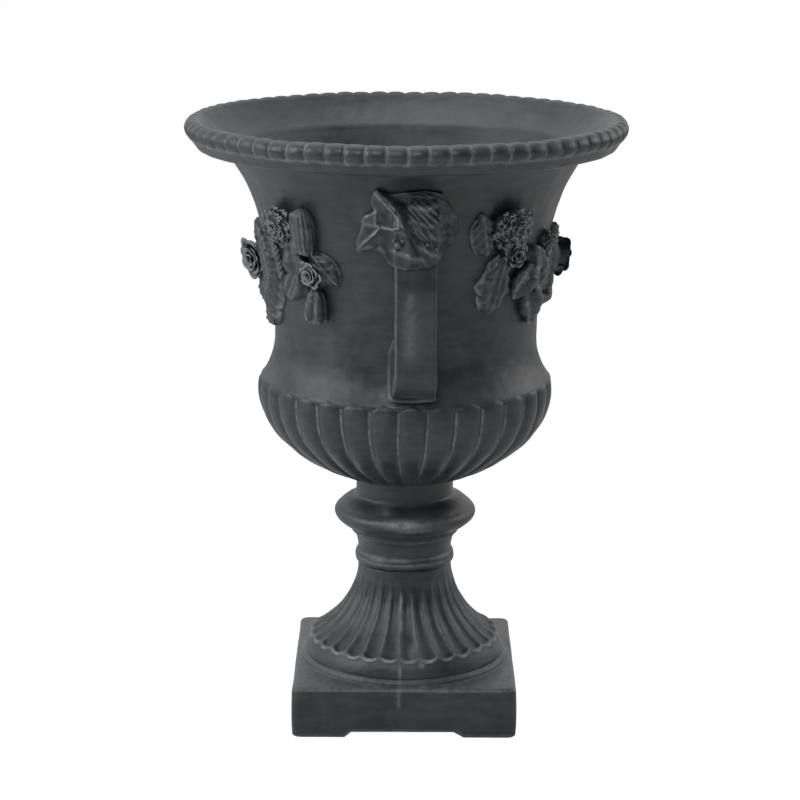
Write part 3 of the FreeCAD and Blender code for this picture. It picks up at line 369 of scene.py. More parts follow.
def turnCasting(name, line, base, count, across, relief=None, wobble=1.0, turned=True):
    # line: the closed outline as (out, up), outside first. relief(share across, line) gives how far the
    # surface stands out, in mm, and how pale it is: dust, and in places painted highlight.
    outward = outwardOf(line)
    points, rub = [], []
    for column in range(across + 1):
        share = column / across
        angle = (share - 0.5) * 2 * math.pi / count - math.pi / 2
        raised, dust = relief(share, line) if relief else (np.zeros(len(line)), np.zeros(len(line)))
        out = line[:, 0] + outward[:, 0] * raised
        up = line[:, 1] + outward[:, 1] * raised + base
        points.append(np.stack([out * math.cos(angle), out * math.sin(angle), up], axis=1) * mm)
        rub.append(dust)
    rows = len(line)
    faces = []
    for column in range(across):
        for row in range(rows):
            after = (row + 1) % rows
            faces.append((column * rows + row, (column + 1) * rows + row,
                          (column + 1) * rows + after, column * rows + after))
    segment = makeObject(name + "Segment", np.concatenate(points), faces, np.concatenate(rub))
    piece = runTree(name, segmentRing, {
        "Segment": segment, "Count": count, "Turn": math.radians(urn["turn"] if turned else 0.0),
        "Join Distance": 0.00002, "Wobble": urn["wobble"] * wobble * mm,
        "Wobble Scale": 1 / (urn["wobbleSize"] * mm), "Finish": stonePaint})
    bpy.data.objects.remove(segment)
    return piece


# ---- bell ----

bell = {
    "shoulder": (171.1, 0.0),
    "waist": (152.9, 50.0),
    "flareStart": (170.9, 192.0),
    "top": (210.5, 272.0),
    "shoulderBend": 82.0,
    "sideBend": 570.0,
    "flareBend": 215.0,
    "wall": 12.0,
}


def bellOutside():
    return [bell["shoulder"] + (-bell["shoulderBend"],), bell["waist"] + (-bell["sideBend"],),
            bell["flareStart"] + (-bell["flareBend"],), bell["top"]]


def bellRadius(height):
    line = followOutline(bellOutside(), 2.0, closed=False)[0]
    return np.interp(height, line[:, 1], line[:, 0])


def bellInside():
    wall = bell["wall"]
    return [(bell["top"][0] - wall, bell["top"][1], bell["flareBend"] + wall),
            (bell["flareStart"][0] - wall, bell["flareStart"][1], bell["sideBend"] + wall),
            (bell["waist"][0] - wall, bell["waist"][1], bell["shoulderBend"] + wall),
            (bell["shoulder"][0] - wall, -4.0)]


def makeBell():
    corners = [(bell["shoulder"][0] - 1.5, -4.0)] + bellOutside() + bellInside()
    line = softenOutline(followOutline(corners, 4.0)[0], 1)

    return finishPiece(turnCasting("bellCasting", line, urn["bellBase"], 60, 4), ["bell"])


# ---- rim ----

rim = {
    "lobes": 70,
    "lipRadius": 240.0,
    "lipHeight": 13.0,
    "rollRadius": 11.0,
    "rollCircle": 244.6,
    "height": 34.0,
    "rollEnd": 128.0,       # degrees round the roll where the smooth inside starts
    "innerBend": 130.0,
    "lap": 7.0,             # the skin over the joint with the bell
    "grooveDepth": 1.7,
    "grooveWidth": 0.075,   # of a lobe's own width
    "lobeRound": 1.3,
    "fade": (80, 126),      # degrees round the roll between which its lobes die out
}


def makeRim():
    level = rim["height"] - rim["rollRadius"]
    roll, circle = rim["rollRadius"], rim["rollCircle"]
    meets = circle + math.sqrt(roll ** 2 - (level - rim["lipHeight"]) ** 2)
    inner = bell["top"][0] - bell["wall"]
    innerAngle = math.radians(rim["rollEnd"])
    shoulder = (circle + roll * math.cos(innerAngle), level + roll * math.sin(innerAngle))
    wallLine = followOutline(bellInside(), 1.0, closed=False)[0][::-1]  # the skin laps down the bell's inside
    joint, lap = (
        (float(np.interp(bell["top"][1] - down, wallLine[:, 1], wallLine[:, 0])) - 0.15, -down)
        for down in (rim["lap"] / 2, rim["lap"]))
    line = followOutline([
        (inner + 3, -2.0), (bell["top"][0], -1.0), (bell["top"][0], 0.0), (rim["lipRadius"], 0.0),
        (meets, rim["lipHeight"], roll), (circle, level + roll, roll),
        shoulder + (-rim["innerBend"],), (inner, 0.0), joint, lap], 2.0)[0]
    line = softenOutline(line, 2)
    around = np.degrees(np.arctan2(line[:, 1] - level, line[:, 0] - circle))
    around = np.where(around < -100, around + 360, around)
    onRoll = np.hypot(line[:, 0] - circle, line[:, 1] - level) < roll + 1.5

    def lobes(share, line):
        side = abs(share - 0.5) * 2
        # The groove starts at the lip and dies out on the inner foot of the roll.
        start = -56 + 12 * (1 - side) ** 2
        ends = smoothStep(start - 14, start + 10, around) * (1 - smoothStep(*rim["fade"], around)) * onRoll
        groove = np.exp(-((1 - side) / 2 / rim["grooveWidth"]) ** 2)
        raised = -(rim["grooveDepth"] * groove + rim["lobeRound"] * side ** 2) * ends
        lowerEnd = np.exp(-((around - start + 6) / 9) ** 2) * onRoll
        dust = np.exp(-((1 - side) / 2 / 0.05) ** 2) * ends * 0.42 + lowerEnd * 0.35
        return raised, dust

    return finishPiece(turnCasting("rimMoulding", line, urn["rimBase"], rim["lobes"], 10, lobes), ["rim_moulding"])


# ---- gadrooned bowl ----

bowl = {
    "gadroons": 32,
    "height": 116.0,
    "cheekCentre": (92.0, 104.0),
    "cheek": 80.0,
    "bellyCentre": (15.63, 180.37),
    "belly": 188.0,
    "relief": 7.4,          # from a gadroon's crest down to the groove beside it
    "archCentre": 110.0,    # height where the gadroon's rounded end starts
    "archTop": 136.0,
    "coveSink": 2.6,        # how far the cove over the gadroons lies behind their rounded ends
    "wall": 12.0,
    "bore": 7.0,
}


def makeBowl():
    cx, cz = bowl["cheekCentre"]
    bx, bz = bowl["bellyCentre"]
    cheek, belly = bowl["cheek"], bowl["belly"]
    half = math.cos(math.radians(45))
    foot = bx + math.sqrt(belly ** 2 - bz ** 2)
    wall = bowl["wall"]
    floorOut = bx + math.sqrt((belly - wall) ** 2 - (24 - bz) ** 2)
    shoulder = bell["shoulder"][0]
    upper = 144.0  # the skin runs on up the cove, just over the bell's own
    upperOut = float(bellRadius(upper - bowl["height"]))
    line, edge = followOutline([
        (bowl["bore"], 0.0), (foot, 0.0, belly), (cx + cheek * half, cz - cheek * half, cheek),
        (shoulder, bowl["height"], -bell["shoulderBend"]), (upperOut, upper),
        (upperOut - 4, upper - 2), (shoulder - wall, bowl["height"], -(cheek - wall)),
        (cx + (cheek - wall) * half, cz - (cheek - wall) * half, -(belly - wall)),
        (floorOut, 24.0), (bowl["bore"], 24.0)], [12.0, 3.0, 1.9, 1.9] + [8.0] * 6)
    line = softenOutline(line, 1)
    skin = (edge >= 1) & (edge <= 3)
    up = line[:, 1]

    def gadroons(share, line):
        side = abs(share - 0.5) * 2
        deep = bowl["relief"] * smoothStep(-14, 26, up)
        past = np.clip((up - bowl["archCentre"]) / (bowl["archTop"] - bowl["archCentre"]), 0, 1.4)
        crest = deep * (np.sqrt(np.clip(1 - 0.965 * side ** 2 - past ** 2, 0, 1)) - 1) + 0.7
        low, high = bowl["archCentre"] - 12, bowl["archCentre"] + 14
        valley = -deep + (deep - bowl["coveSink"]) * smoothStep(low, high, up)
        valley += (bowl["coveSink"] + 0.4) * smoothStep(high + 4, upper - 4, up)
        raised = np.maximum(crest, valley) - 1.6 * smoothStep(upper - 8, upper, up)
        edgeLine = np.exp(-((crest - valley) / 0.7) ** 2) * (up > low) * (up < high + 8)
        groove = math.exp(-((1 - side) / 0.07) ** 2) * smoothStep(8, 30, up) * (1 - smoothStep(108, 122, up))
        dust = np.maximum(edgeLine * 0.6, groove * 0.75) * skin
        return raised * skin, dust

    piece = turnCasting("gadroonedBowl", line, urn["bowlBase"], bowl["gadroons"], 18, gadroons)
    drillDrains(piece, urn["bowlBase"] - 5, urn["bowlBase"] + 30, urn["turn"] + 180 / bowl["gadroons"])
    return finishPiece(piece, ["gadrooned_bowl"])


# ---- stem ----

stem = {
    "bore": 31.0,
    "footRadius": 55.0,
    "annulet": 18.0,
    "cavetto": 55.0,
    "knopLow": 44.0,
    "knopTop": 82.0,
    "knopWaist": 62.0,
    "knopRadius": 84.0,
    "nose": 8.5,
    "neck": 57.5,
    "height": 111.0,
    # Pale marks on the front of the knop are painted highlights: (across, lowest, highest, width, strength), in mm.
    "rubs": [(0, 240, 248, 26.0, 0.7), (10, 234, 239, 16.0, 0.4), (-24, 252, 262, 9.0, 0.2)],
}


def makeStem():
    nose, middle = stem["nose"], (stem["knopLow"] + stem["knopTop"]) / 2
    out = stem["knopRadius"] - 9.6 + math.sqrt(9.6 ** 2 - nose ** 2)
    line = followOutline([
        (stem["bore"], 0.5), (stem["footRadius"], 0.5, 8.0), (stem["footRadius"] + 3.4, 9.0, 9.0),
        (stem["footRadius"], stem["annulet"] - 1), (stem["cavetto"], stem["annulet"] + 2, -52.0),
        (stem["knopWaist"] - 1.5, stem["knopLow"] - 6), (stem["knopWaist"] + 1.5, stem["knopLow"] - 5.2),
        (stem["knopWaist"] + 2.0, stem["knopLow"] - 0.5), (stem["knopWaist"] + 0.5, stem["knopLow"], 34.0),
        (out, middle - nose, 9.6), (out, middle + nose, 34.0),
        (stem["knopWaist"], stem["knopTop"]), (stem["neck"], stem["knopTop"] + 3),
        (stem["neck"], stem["height"] - 8, -8.0), (stem["neck"] + 8, stem["height"] + 1.5),
        (stem["bore"], stem["height"] + 1.5)], 1.6)[0]
    line = softenOutline(line, 1)

    def lines(share, line):
        # Pale lines along the edges of the rings are painted highlights.
        dust = sum(strength * np.exp(-((line[:, 1] - height) / width) ** 2) for height, width, strength in (
            (9.0, 1.3, 0.3), (15.5, 1.2, 0.2), (38.2, 1.2, 0.35), (84, 2.0, 0.15), (51, 4.0, 0.1)))
        return np.zeros(len(line)), dust * (line[:, 0] > 50)

    piece = turnCasting("stemCasting", line, urn["stemBase"], 36, 4, lines)
    return finishPiece(streakAndHighlight(piece, stem["rubs"]), ["stem"])


# ---- fluted foot ----

foot = {
    "flutes": 30,
    "ring": 120.0,
    "ringTop": 18.0,
    "edge": 112.5,
    "roll": 4.0,
    "neck": 55.0,
    "height": 109.0,
    "curve": 112.0,
    "depth": 3.6,
    "cavity": 80.0,
    "bore": 31.0,
    "streaks": [(-5, 68, 84, 1.6, 0.55), (9, 84, 100, 4.0, 0.25), (21, 80, 88, 3.0, 0.5), (-3, 112, 150, 2.0, 0.4)],
}


def makeFoot():
    line, edge = followOutline([
        (foot["cavity"], -1.0), (foot["ring"], -1.0, 44.0), (foot["edge"], foot["ringTop"], foot["roll"]),
        (foot["edge"] - 2, foot["ringTop"] + foot["roll"], -foot["curve"]),
        (foot["neck"], foot["height"] - 3), (foot["neck"], foot["height"] + 1), (foot["bore"], foot["height"] + 1),
        (foot["bore"], foot["height"] - 14), (foot["cavity"], 9.0)], 2.2)
    line = softenOutline(line, 1)
    trumpet = (edge == 3) | (edge == 2)
    up = line[:, 1]
    low, high = foot["ringTop"] + foot["roll"] - 4.5, foot["height"] - 3
    down = np.clip((high - up) / (high - low), 0, 1)  # 0 at the neck, 1 at the foot's edge

    def flutes(share, line):
        side = abs(share - 0.5) * 2
        end = 0.985 - 0.05 * side ** 2
        run = smoothStep(0.02, 0.4, down) * (1 - smoothStep(end - 0.05, end, down))
        width = line[:, 0] / foot["edge"]
        depth = foot["depth"] * (0.35 + 0.65 * width)
        raised = -depth * (1 - side ** 2.4) * run
        lip = np.exp(-((down - end - 0.005) / 0.018) ** 2) * (1 - side ** 2)
        ridge = math.exp(-((1 - side) / 0.16) ** 2) * smoothStep(0.15, 0.5, down) * (1 - smoothStep(0.9, 1, down))
        return (raised + lip * 1.4) * trumpet, (lip * 0.9 + ridge * 0.28) * trumpet

    piece = turnCasting("flutedFoot", line, urn["footBase"], foot["flutes"], 14, flutes)
    return finishPiece(streakAndHighlight(piece, foot["streaks"]), ["fluted_foot"])


# ---- plinth ----

plinth = {
    "side": 261.0,
    "height": 60.0,
    "corner": 8.0,
    "edge": 5.0,
    "bulge": 0.6,
    "archWidth": 141.0,
    "archHeight": 6.5,
    "ringOut": 128.0,
    "ringTop": 68.0,
    "ring": 120.0,
    "wall": 24.0,
    "roof": 38.0,
    "bore": 7.0,
    "streaks": [(-6, 34, 70, 1.2, 0.28), (-40, 58, 62, 16.0, 0.3)],
}


def squareOutline(half, corner, parts):
    # Points round a square with rounded corners, the same number on each side, with their outward shares.
    points = []
    for quarter in range(4):
        turn = Matrix.Rotation(math.pi / 2 * quarter, 2)
        for part in range(parts):
            share = part / parts
            flat = 2 * (half - corner)
            bend = math.pi / 2 * corner
            reach = share * (flat + bend)
            if reach < flat:
                point = Vector((half, -half + corner + reach))
            else:
                angle = (reach - flat) / corner
                point = Vector((half - corner + corner * math.cos(angle), half - corner + corner * math.sin(angle)))
            points.append(turn @ point)
    return np.array(points)


def makePlinth():
    half, parts = plinth["side"] / 2, 64
    rows, rub = [], []
    outer = squareOutline(half, plinth["corner"], parts)
    inner = squareOutline(half - plinth["wall"], 3.0, parts)
    heading = np.arctan2(outer[:, 1], outer[:, 0])
    circle = np.stack([np.cos(heading), np.sin(heading)], axis=1)
    lesser = np.min(np.abs(outer), axis=1)  # how far along its side each point stands from the middle
    reach = plinth["archWidth"] / 2
    lift = plinth["archHeight"] * (1 - smoothStep(reach - plinth["archHeight"] * 1.3, reach, lesser))

    def addRow(flat, level, dust=0.0):
        rows.append(np.column_stack([flat, np.broadcast_to(level, len(flat))]))
        rub.append(np.broadcast_to(dust, len(flat)))

    edge, height = plinth["edge"], plinth["height"]
    for share in (0.0, 0.35, 0.7, 1.0):  # the soft edge under the sides
        addRow(outer * (1 - 1.6 * (1 - share) ** 2 / half), lift + 1.6 * share * (2 - share), 0.25)
    for share in np.linspace(0, 1, 15)[1:]:
        swell = 1 + plinth["bulge"] * math.sin(math.pi * share) / half
        addRow(outer * swell, (lift + 1.6) * (1 - share) + (height - edge) * share)
    for angle in (20, 40, 60, 80, 90):
        bend = math.radians(angle)
        addRow(outer * (1 - edge * (1 - math.cos(bend)) / half), height - edge + edge * math.sin(bend), 0.2)
    flat = outer * (1 - edge / half)
    for share in np.linspace(0, 1, 12)[1:]:
        # Near the corners the top is flat; at the middle of a side the cove starts at the edge.
        ringPoints = circle * plinth["ringOut"]
        spot = flat * (1 - share) + ringPoints * share
        inside = np.hypot(flat[:, 0], flat[:, 1]) > plinth["ringOut"]
        spot = np.where(inside[:, None], spot, flat * (1 - share) + circle * (plinth["ringOut"] - 4) * share)
        addRow(spot, height + 0.9 * share, 0.16)
    for share in np.linspace(0, 1, 7)[1:]:
        out = plinth["ringOut"] - (plinth["ringOut"] - plinth["ring"]) * share
        addRow(circle * min(out, 124.0 if share < 0.4 else out), height + 0.9 + 7.1 * share ** 1.6, 0.1)
    for out in (112.0, 60.0, plinth["bore"]):
        addRow(circle * out, plinth["ringTop"])
    for level in (54.0, plinth["roof"]):
        addRow(circle * plinth["bore"], level)
    for out in (30.0, 70.0):
        addRow(circle * out, plinth["roof"])
    addRow(inner * 0.97, plinth["roof"])
    addRow(inner, plinth["roof"] - 3)
    for share in (0.3, 0.6, 0.9, 1.0):
        addRow(inner, (plinth["roof"] - 3) * (1 - share) + (lift + 1.0) * share)
    addRow(inner * 1.02, lift)
    points = np.concatenate(rows)
    for index, point in enumerate(points):
        drift = noise.noise_vector(Vector(point) / urn["wobbleSize"])
        points[index] += np.array(drift) * urn["wobble"] * 0.7 * (1 if point[2] > 12 else point[2] / 12)
    faces = gridFaces(len(rows), len(outer), closedRows=True, closedColumns=True)
    piece = makeObject("plinthCasting", points * mm, faces, np.concatenate(rub))
    drillDrains(piece, plinth["roof"] - 5, plinth["ringTop"] + 5, 0)
    return finishPiece(streakAndHighlight(piece, plinth["streaks"]), ["plinth"])


makePlinth()
makeFoot()
makeStem()
makeBowl()
makeBell()
makeRim()
print("castings made")


# ---- handles ----

handle = {
    "width": 46.0,
    "thickness": 13.0,
    "reach": 211.0,
    "bow": 420.0,
    "bend": 44.0,
    "top": 238.0,
    "shoulder": 198.0,
    "elbow": 58.0,
    "foot": 14.0,
    "gripTop": 206.0,
    "gripLow": 62.0,
    "plateWidth": 60.0,
    "plateTop": 92.0,
    # Pale marks on the front handle's strap are painted highlights: (across, lowest, highest, width, strength), in mm.
    "rubs": [(5, 470, 545, 7.0, 0.18), (12, 405, 425, 14.0, 0.12)],
    "edgeBead": 0.3,       # the thin raised line left at each edge of the mould
}


def placeHandle(points, back):
    # From (out, across, up) of the front handle to metres on the turned urn.
    turn = math.radians(urn["turn"] - 90 + (180 if back else 0))
    out, across, up = points.T
    return np.stack([out * math.cos(turn) - across * math.sin(turn),
                     out * math.sin(turn) + across * math.cos(turn), up + urn["bellBase"]], axis=1) * mm


def roughen(points, amount, size, seed=0.0):
    shift = Vector((seed * 17.3, seed * 5.1, seed * 9.7))
    drift = np.array([noise.noise_vector(Vector(point) / size + shift) for point in points])
    return points + drift * amount


def makeStrap(back):
    reach, thick = handle["reach"], handle["thickness"]
    root = bell["waist"][0] - 10
    outer = followOutline([
        (root, handle["foot"] - 8), (bell["shoulder"][0], handle["foot"], handle["bend"]),
        (reach - 3, handle["elbow"], handle["bow"]), (reach - 3, handle["shoulder"], handle["bend"]),
        (bell["top"][0] - 26, handle["top"]), (root, handle["top"])], 3.0, closed=False)[0]
    inside = reach - thick
    grip = followOutline([
        (root, handle["gripLow"]), (inside - 20, handle["gripLow"], 20.0), (inside, handle["gripLow"] + 20),
        (inside, handle["gripTop"] - 20, 20.0), (inside - 20, handle["gripTop"]), (root, handle["gripTop"])],
        3.0, closed=False)[0]
    travel = np.linspace(0, 1, len(outer))
    outerRun = np.concatenate([[0], np.cumsum(np.hypot(*np.diff(outer, axis=0).T))])
    gripRun = np.concatenate([[0], np.cumsum(np.hypot(*np.diff(grip, axis=0).T))])
    # Stations are paired by height over the straight part and by distance round the bends.
    stations = np.interp(travel, [0, 0.26, 0.36, 0.70, 0.80, 1], [0, 0.16, 0.26, 0.74, 0.84, 1])
    innerLine = np.stack([np.interp(stations * gripRun[-1], gripRun, grip[:, k]) for k in (0, 1)], axis=1)
    outerLine = np.stack([np.interp(travel * outerRun[-1], outerRun, outer[:, k]) for k in (0, 1)], axis=1)
    half = handle["width"] / 2
    # One section, from the outer face round to the inner one: (across, share of the way in, relief, dust and
    # highlight). The pale mark on the left edge is a painted highlight, stronger than the right edge's.
    section = [(-half + 0.8, 0.0, -0.9, 0.2), (-half + 2.2, 0.0, handle["edgeBead"], 0.1)]
    section += [(across, 0.0, -0.5 * (1 - (across / half) ** 2), 0.0)
                for across in np.linspace(-half + 4.2, half - 4.2, 11)]
    section += [(half - 2.2, 0.0, 0.0, 0.0), (half - 0.8, 0.0, -0.9, 0.08)]
    section += [(half, share, 0.0, 0.0) for share in (0.12, 0.35, 0.65, 0.88)]
    section += [(across, 1.0, 0.0, 0.0) for across in np.linspace(half - 1.5, -half + 1.5, 8)]
    section += [(-half, share, 0.0, 0.0) for share in (0.88, 0.65, 0.35, 0.12)]
    rows, rub = [], []
    ahead = np.gradient(outerLine, axis=0)
    ahead /= np.hypot(*ahead.T)[:, None]
    face = np.stack([ahead[:, 1], -ahead[:, 0]], axis=1)
    for index, (near, far) in enumerate(zip(outerLine, innerLine)):
        flare = 1 + 0.12 * smoothStep(180, 225, near[1]) + 0.1 * (1 - smoothStep(14, 50, near[1]))
        for across, share, raised, dust in section:
            spot = near * (1 - share) + far * share + face[index] * raised
            rows.append((spot[0], across * flare, spot[1]))
            rub.append(dust)
    points = roughen(np.array(rows), 0.8, 45.0, 3.0 + back)
    # The roots end inside the wall.
    points[:, 0] = np.maximum(points[:, 0], bellRadius(np.clip(points[:, 2], 1, 271)) * 0.985 - 6)
    count = len(section)
    faces = gridFaces(len(outerLine), count, closedColumns=True)
    faces = [tuple(reversed(face)) for face in faces]
    faces.append(tuple(range(count)))
    faces.append(tuple(reversed(range(len(points) - count, len(points)))))
    return points, faces, np.array(rub)


def makeFootPlate(back):
    # The wider root that the strap grows out of, left rough where it was bedded on.
    wide, tall = 26, 22
    points, rub = [], []
    for row in range(tall + 1):
        share = row / tall
        up = handle["foot"] - 6 + (handle["plateTop"] - handle["foot"] + 6) * share
        wallOut = float(bellRadius(max(up, 0.5)))
        proud = 6.0 * (1 - smoothStep(0.35, 1.0, share)) * smoothStep(-0.2, 0.12, share)
        for column in range(wide + 1):
            side = column / wide * 2 - 1
            across = side * handle["plateWidth"] / 2 * (1 - 0.25 * smoothStep(0.6, 1.0, share))
            edge = 1 - abs(side) ** 3
            points.append((wallOut - 5 + (proud + 5.5) * edge, across, up))
            rub.append(0.2 * math.exp(-(share / 0.1) ** 2))
    top = len(points)
    for column in range(0, top):
        out, across, up = points[column]
        points.append((float(bellRadius(max(up, 0.5))) - 7, across, up))
        rub.append(0.0)
    faces = [tuple(reversed(face)) for face in gridFaces(tall + 1, wide + 1)]
    faces += gridFaces(tall + 1, wide + 1, start=top)
    loop = list(range(wide)) + [wide + row * (wide + 1) for row in range(tall)]
    loop += [tall * (wide + 1) + wide - column for column in range(wide)]
    loop += [(tall - row) * (wide + 1) for row in range(tall)]
    for here, after in zip(loop, loop[1:] + loop[:1]):
        faces.append((here, after, after + top, here + top))
    return roughen(np.array(points), 1.4, 14.0, 8.0 + back), faces, np.array(rub)


def joinShapes(shapes):
    points, faces, rub, start = [], [], [], 0
    for spots, quads, dust in shapes:
        points.append(spots)
        rub.append(dust)
        faces += [tuple(start + corner for corner in quad) for quad in quads]
        start += len(spots)
    return np.concatenate(points), faces, np.concatenate(rub)


def outwardFaces(piece):
    # Turns every closed shell of the mesh so that its faces point outwards.
    bpy.context.view_layer.objects.active = piece
    piece.select_set(True)
    bpy.ops.object.mode_set(mode="EDIT")
    bpy.ops.mesh.select_all(action="SELECT")
    bpy.ops.mesh.normals_make_consistent(inside=False)
    bpy.ops.object.mode_set(mode="OBJECT")
    piece.select_set(False)


for back, side in ((False, "front"), (True, "back")):
    points, faces, rub = joinShapes([makeStrap(back), makeFootPlate(back)])
    strap = streakAndHighlight(makeObject(side + "Handle", placeHandle(points, back), faces, rub), handle["rubs"])
    outwardFaces(strap)
    finishPiece(strap, ["handle_" + side])
print("handles made")


# ---- leaf caps over the handles' roots ----

leafCap = {
    "heart": (-14.0, 208.0),     # (across, up) on the front, up from the bell's foot
    "proud": 7.5,
    "edge": 2.5,                 # how proud its edge still stands
    # round the leaf, from the beak's tip down the left side
    "outline": [(-43, 252), (-48, 238), (-44, 225), (-56, 219), (-58, 206), (-62, 192), (-65, 179), (-58, 175),
                (-46, 180), (-36, 178), (-28, 171), (-8, 166), (14, 168), (30, 177), (43, 188), (49, 205),
                (46, 222), (36, 234), (31, 247), (10, 251), (-14, 248), (-28, 246)],
    # a raised line: its points, its height, its half width and its pale mark, a painted highlight that is strongest on
    # the ridges of the left-hand half
    "ridges": [
        ([(-44, 252), (-20, 233), (-13, 213), (-7, 190), (-4, 176)], 7.0, 5.0, 0.0),
        ([(-38, 208), (-19, 213)], 4.0, 1.5, 0.65),
        ([(-45, 247), (-20, 223), (-19, 212)], 3.0, 1.6, 0.5),
        ([(-44, 226), (-42, 210), (-38, 208)], 3.2, 1.6, 0.5),
        ([(-60, 183), (-41, 203), (-38, 208)], 3.6, 1.5, 0.55),
        ([(-55, 218), (-43, 224)], 2.6, 1.4, 0.55),
        ([(-57, 210), (-39, 209)], 2.6, 1.3, 0.4),
        ([(-64, 180), (-50, 183), (-34, 181)], 3.0, 2.6, 0.25),
        ([(-26, 188), (-15, 184), (8, 178)], 2.6, 2.4, 0.3),
        ([(-6, 234), (14, 231), (28, 236)], 2.4, 2.4, 0.55),
        ([(-4, 220), (16, 214), (44, 218)], 2.8, 3.0, 0.15),
        ([(2, 206), (24, 200), (44, 192)], 3.0, 3.0, 0.1),
        ([(4, 192), (18, 184), (28, 180)], 2.6, 2.6, 0.35),
        ([(-2, 244), (18, 243), (30, 246)], 2.2, 2.0, 0.2),
    ],
    "string": 1.3,               # fine stringy lines right of the beak
    "beads": [(-20, 195, 4.2), (-15, 199, 2.4), (-24, 199, 2.4), (12, 195, 2.2), (30, 206, 2.4), (22, 190, 2.0)],
}


def capSurface(across, up):
    # How far out the wall and the strap together reach, rounded where they meet.
    wallOut = bellRadius(np.clip(up, 1, 271)) * np.cos(np.radians(across / 3.4))
    bent = np.clip(up - handle["shoulder"], 0, 60) / 40
    strapOut = handle["reach"] - 0.5 - 24 * bent ** 2
    over = 1 - smoothStep(handle["width"] / 2 - 1, handle["width"] / 2 + 16, np.abs(across))
    return np.maximum(wallOut, wallOut + (strapOut - wallOut) * over)


def nearLine(spots, line):
    # Distance of every spot from a line of points.
    nearest = np.full(len(spots), np.inf)
    for start, end in zip(np.array(line[:-1], float), np.array(line[1:], float)):
        along = np.clip((spots - start) @ (end - start) / ((end - start) @ (end - start)), 0, 1)
        nearest = np.minimum(nearest, np.hypot(*(spots - start - along[:, None] * (end - start)).T))
    return nearest


def makeLeafCap(back):
    edge = softenOutline(followOutline(leafCap["outline"], 2.6)[0], 1)
    heart, rings, count = np.array(leafCap["heart"]), 40, len(edge)
    points, rub = [], []
    for ring in range(1, rings + 1):
        out = (ring / rings) ** 0.8
        spot = heart + (edge - heart) * out
        height = leafCap["edge"] + (leafCap["proud"] - leafCap["edge"]) * (1 - out ** 4)
        # A pale line round the edge of the left-hand half only: a painted highlight.
        dust = np.full(count, 0.25 * math.exp(-((1 - out) / 0.05) ** 2)) * (spot[:, 0] < -10)
        for line, high, wide, pale in leafCap["ridges"]:
            ridge = np.exp(-(nearLine(spot, line) / wide) ** 2)
            height = height + high * ridge * (1 - out ** 8)
            dust = np.maximum(dust, pale * ridge)
        fan = np.arctan2(spot[:, 1] - 262, spot[:, 0] + 40)
        strings = np.sin(fan * 66 + spot[:, 0] / 7) + 0.6 * np.sin(fan * 149 - spot[:, 0] / 5)
        height = height + leafCap["string"] * strings * smoothStep(-12, -2, spot[:, 0]) * (out < 0.97)
        points.append(np.column_stack([capSurface(*spot.T) + height, spot]))
        rub.append(dust)
    points.append(np.column_stack([capSurface(*edge.T) - 6, edge]))
    rub.append(np.zeros(count))
    total, last = (rings + 1) * count, rings * count
    points.append(np.stack([points[0].mean(axis=0), points[-1].mean(axis=0)]))
    rub.append(np.zeros(2))
    faces = gridFaces(rings + 1, count, closedColumns=True)
    for here in range(count):
        after = (here + 1) % count
        faces.append((here, after, total))
        faces.append((last + here, last + after, total + 1))
    points = roughen(np.concatenate(points), 1.0, 9.0, 30.0 + back)
    shapes = [(points, faces, np.concatenate(rub))]
    for across, up, size in leafCap["beads"]:
        out = float(capSurface(np.array([across]), np.array([up]))[0]) + leafCap["proud"] + 1.0
        shapes.append(beadShape((out, across, up), size))
    points, faces, rub = joinShapes(shapes)
    cap = makeObject("backLeafCap" if back else "frontLeafCap", placeHandle(points, back), faces, rub)
    outwardFaces(cap)
    finishPiece(cap, ["handle_leaf_back" if back else "handle_leaf_front"])


def beadShape(middle, size, rows=7, columns=10):
    points, rub = [(0, 0, 1.0)], [0.5]
    for row in range(1, rows):
        tilt = math.pi * row / rows
        for column in range(columns):
            turn = 2 * math.pi * column / columns
            points.append((math.sin(tilt) * math.cos(turn), math.sin(tilt) * math.sin(turn), math.cos(tilt)))
            rub.append(0.2)
    points.append((0, 0, -1.0))
    rub.append(0.0)
    faces = [(0, 1 + column, 1 + (column + 1) % columns) for column in range(columns)]
    faces += gridFaces(rows - 1, columns, closedColumns=True, start=1)
    last = len(points) - 1
    start = last - columns
    faces += [(start + (column + 1) % columns, start + column, last) for column in range(columns)]
    return np.array(points) * size + np.array(middle), faces, np.array(rub)


for back in (False, True):
    makeLeafCap(back)
print("leaf caps made")


# ---- garlands: shapes in the wall's own frame, x to the right, y up and z out, in mm ----


def closedSheet(top, rub, under=None, thick=None):
    # top is a grid of points. Its underside is a level, or lies one thickness below.
    rows, columns = top.shape[:2]
    low = top.copy()
    low[:, :, 2] = under if thick is None else top[:, :, 2] - thick
    points = np.concatenate([top.reshape(-1, 3), low.reshape(-1, 3)])
    half = rows * columns
    faces = [tuple(reversed(face)) for face in gridFaces(rows, columns)]
    faces += gridFaces(rows, columns, start=half)
    loop = list(range(columns - 1)) + [columns - 1 + row * columns for row in range(rows - 1)]
    loop += [(rows - 1) * columns + columns - 1 - column for column in range(columns - 1)]
    loop += [(rows - 1 - row) * columns for row in range(rows - 1)]
    for here, after in zip(loop, loop[1:] + loop[:1]):
        faces.append((here, after, after + half, here + half))
    return points, faces, np.concatenate([rub.ravel(), np.zeros(half)])


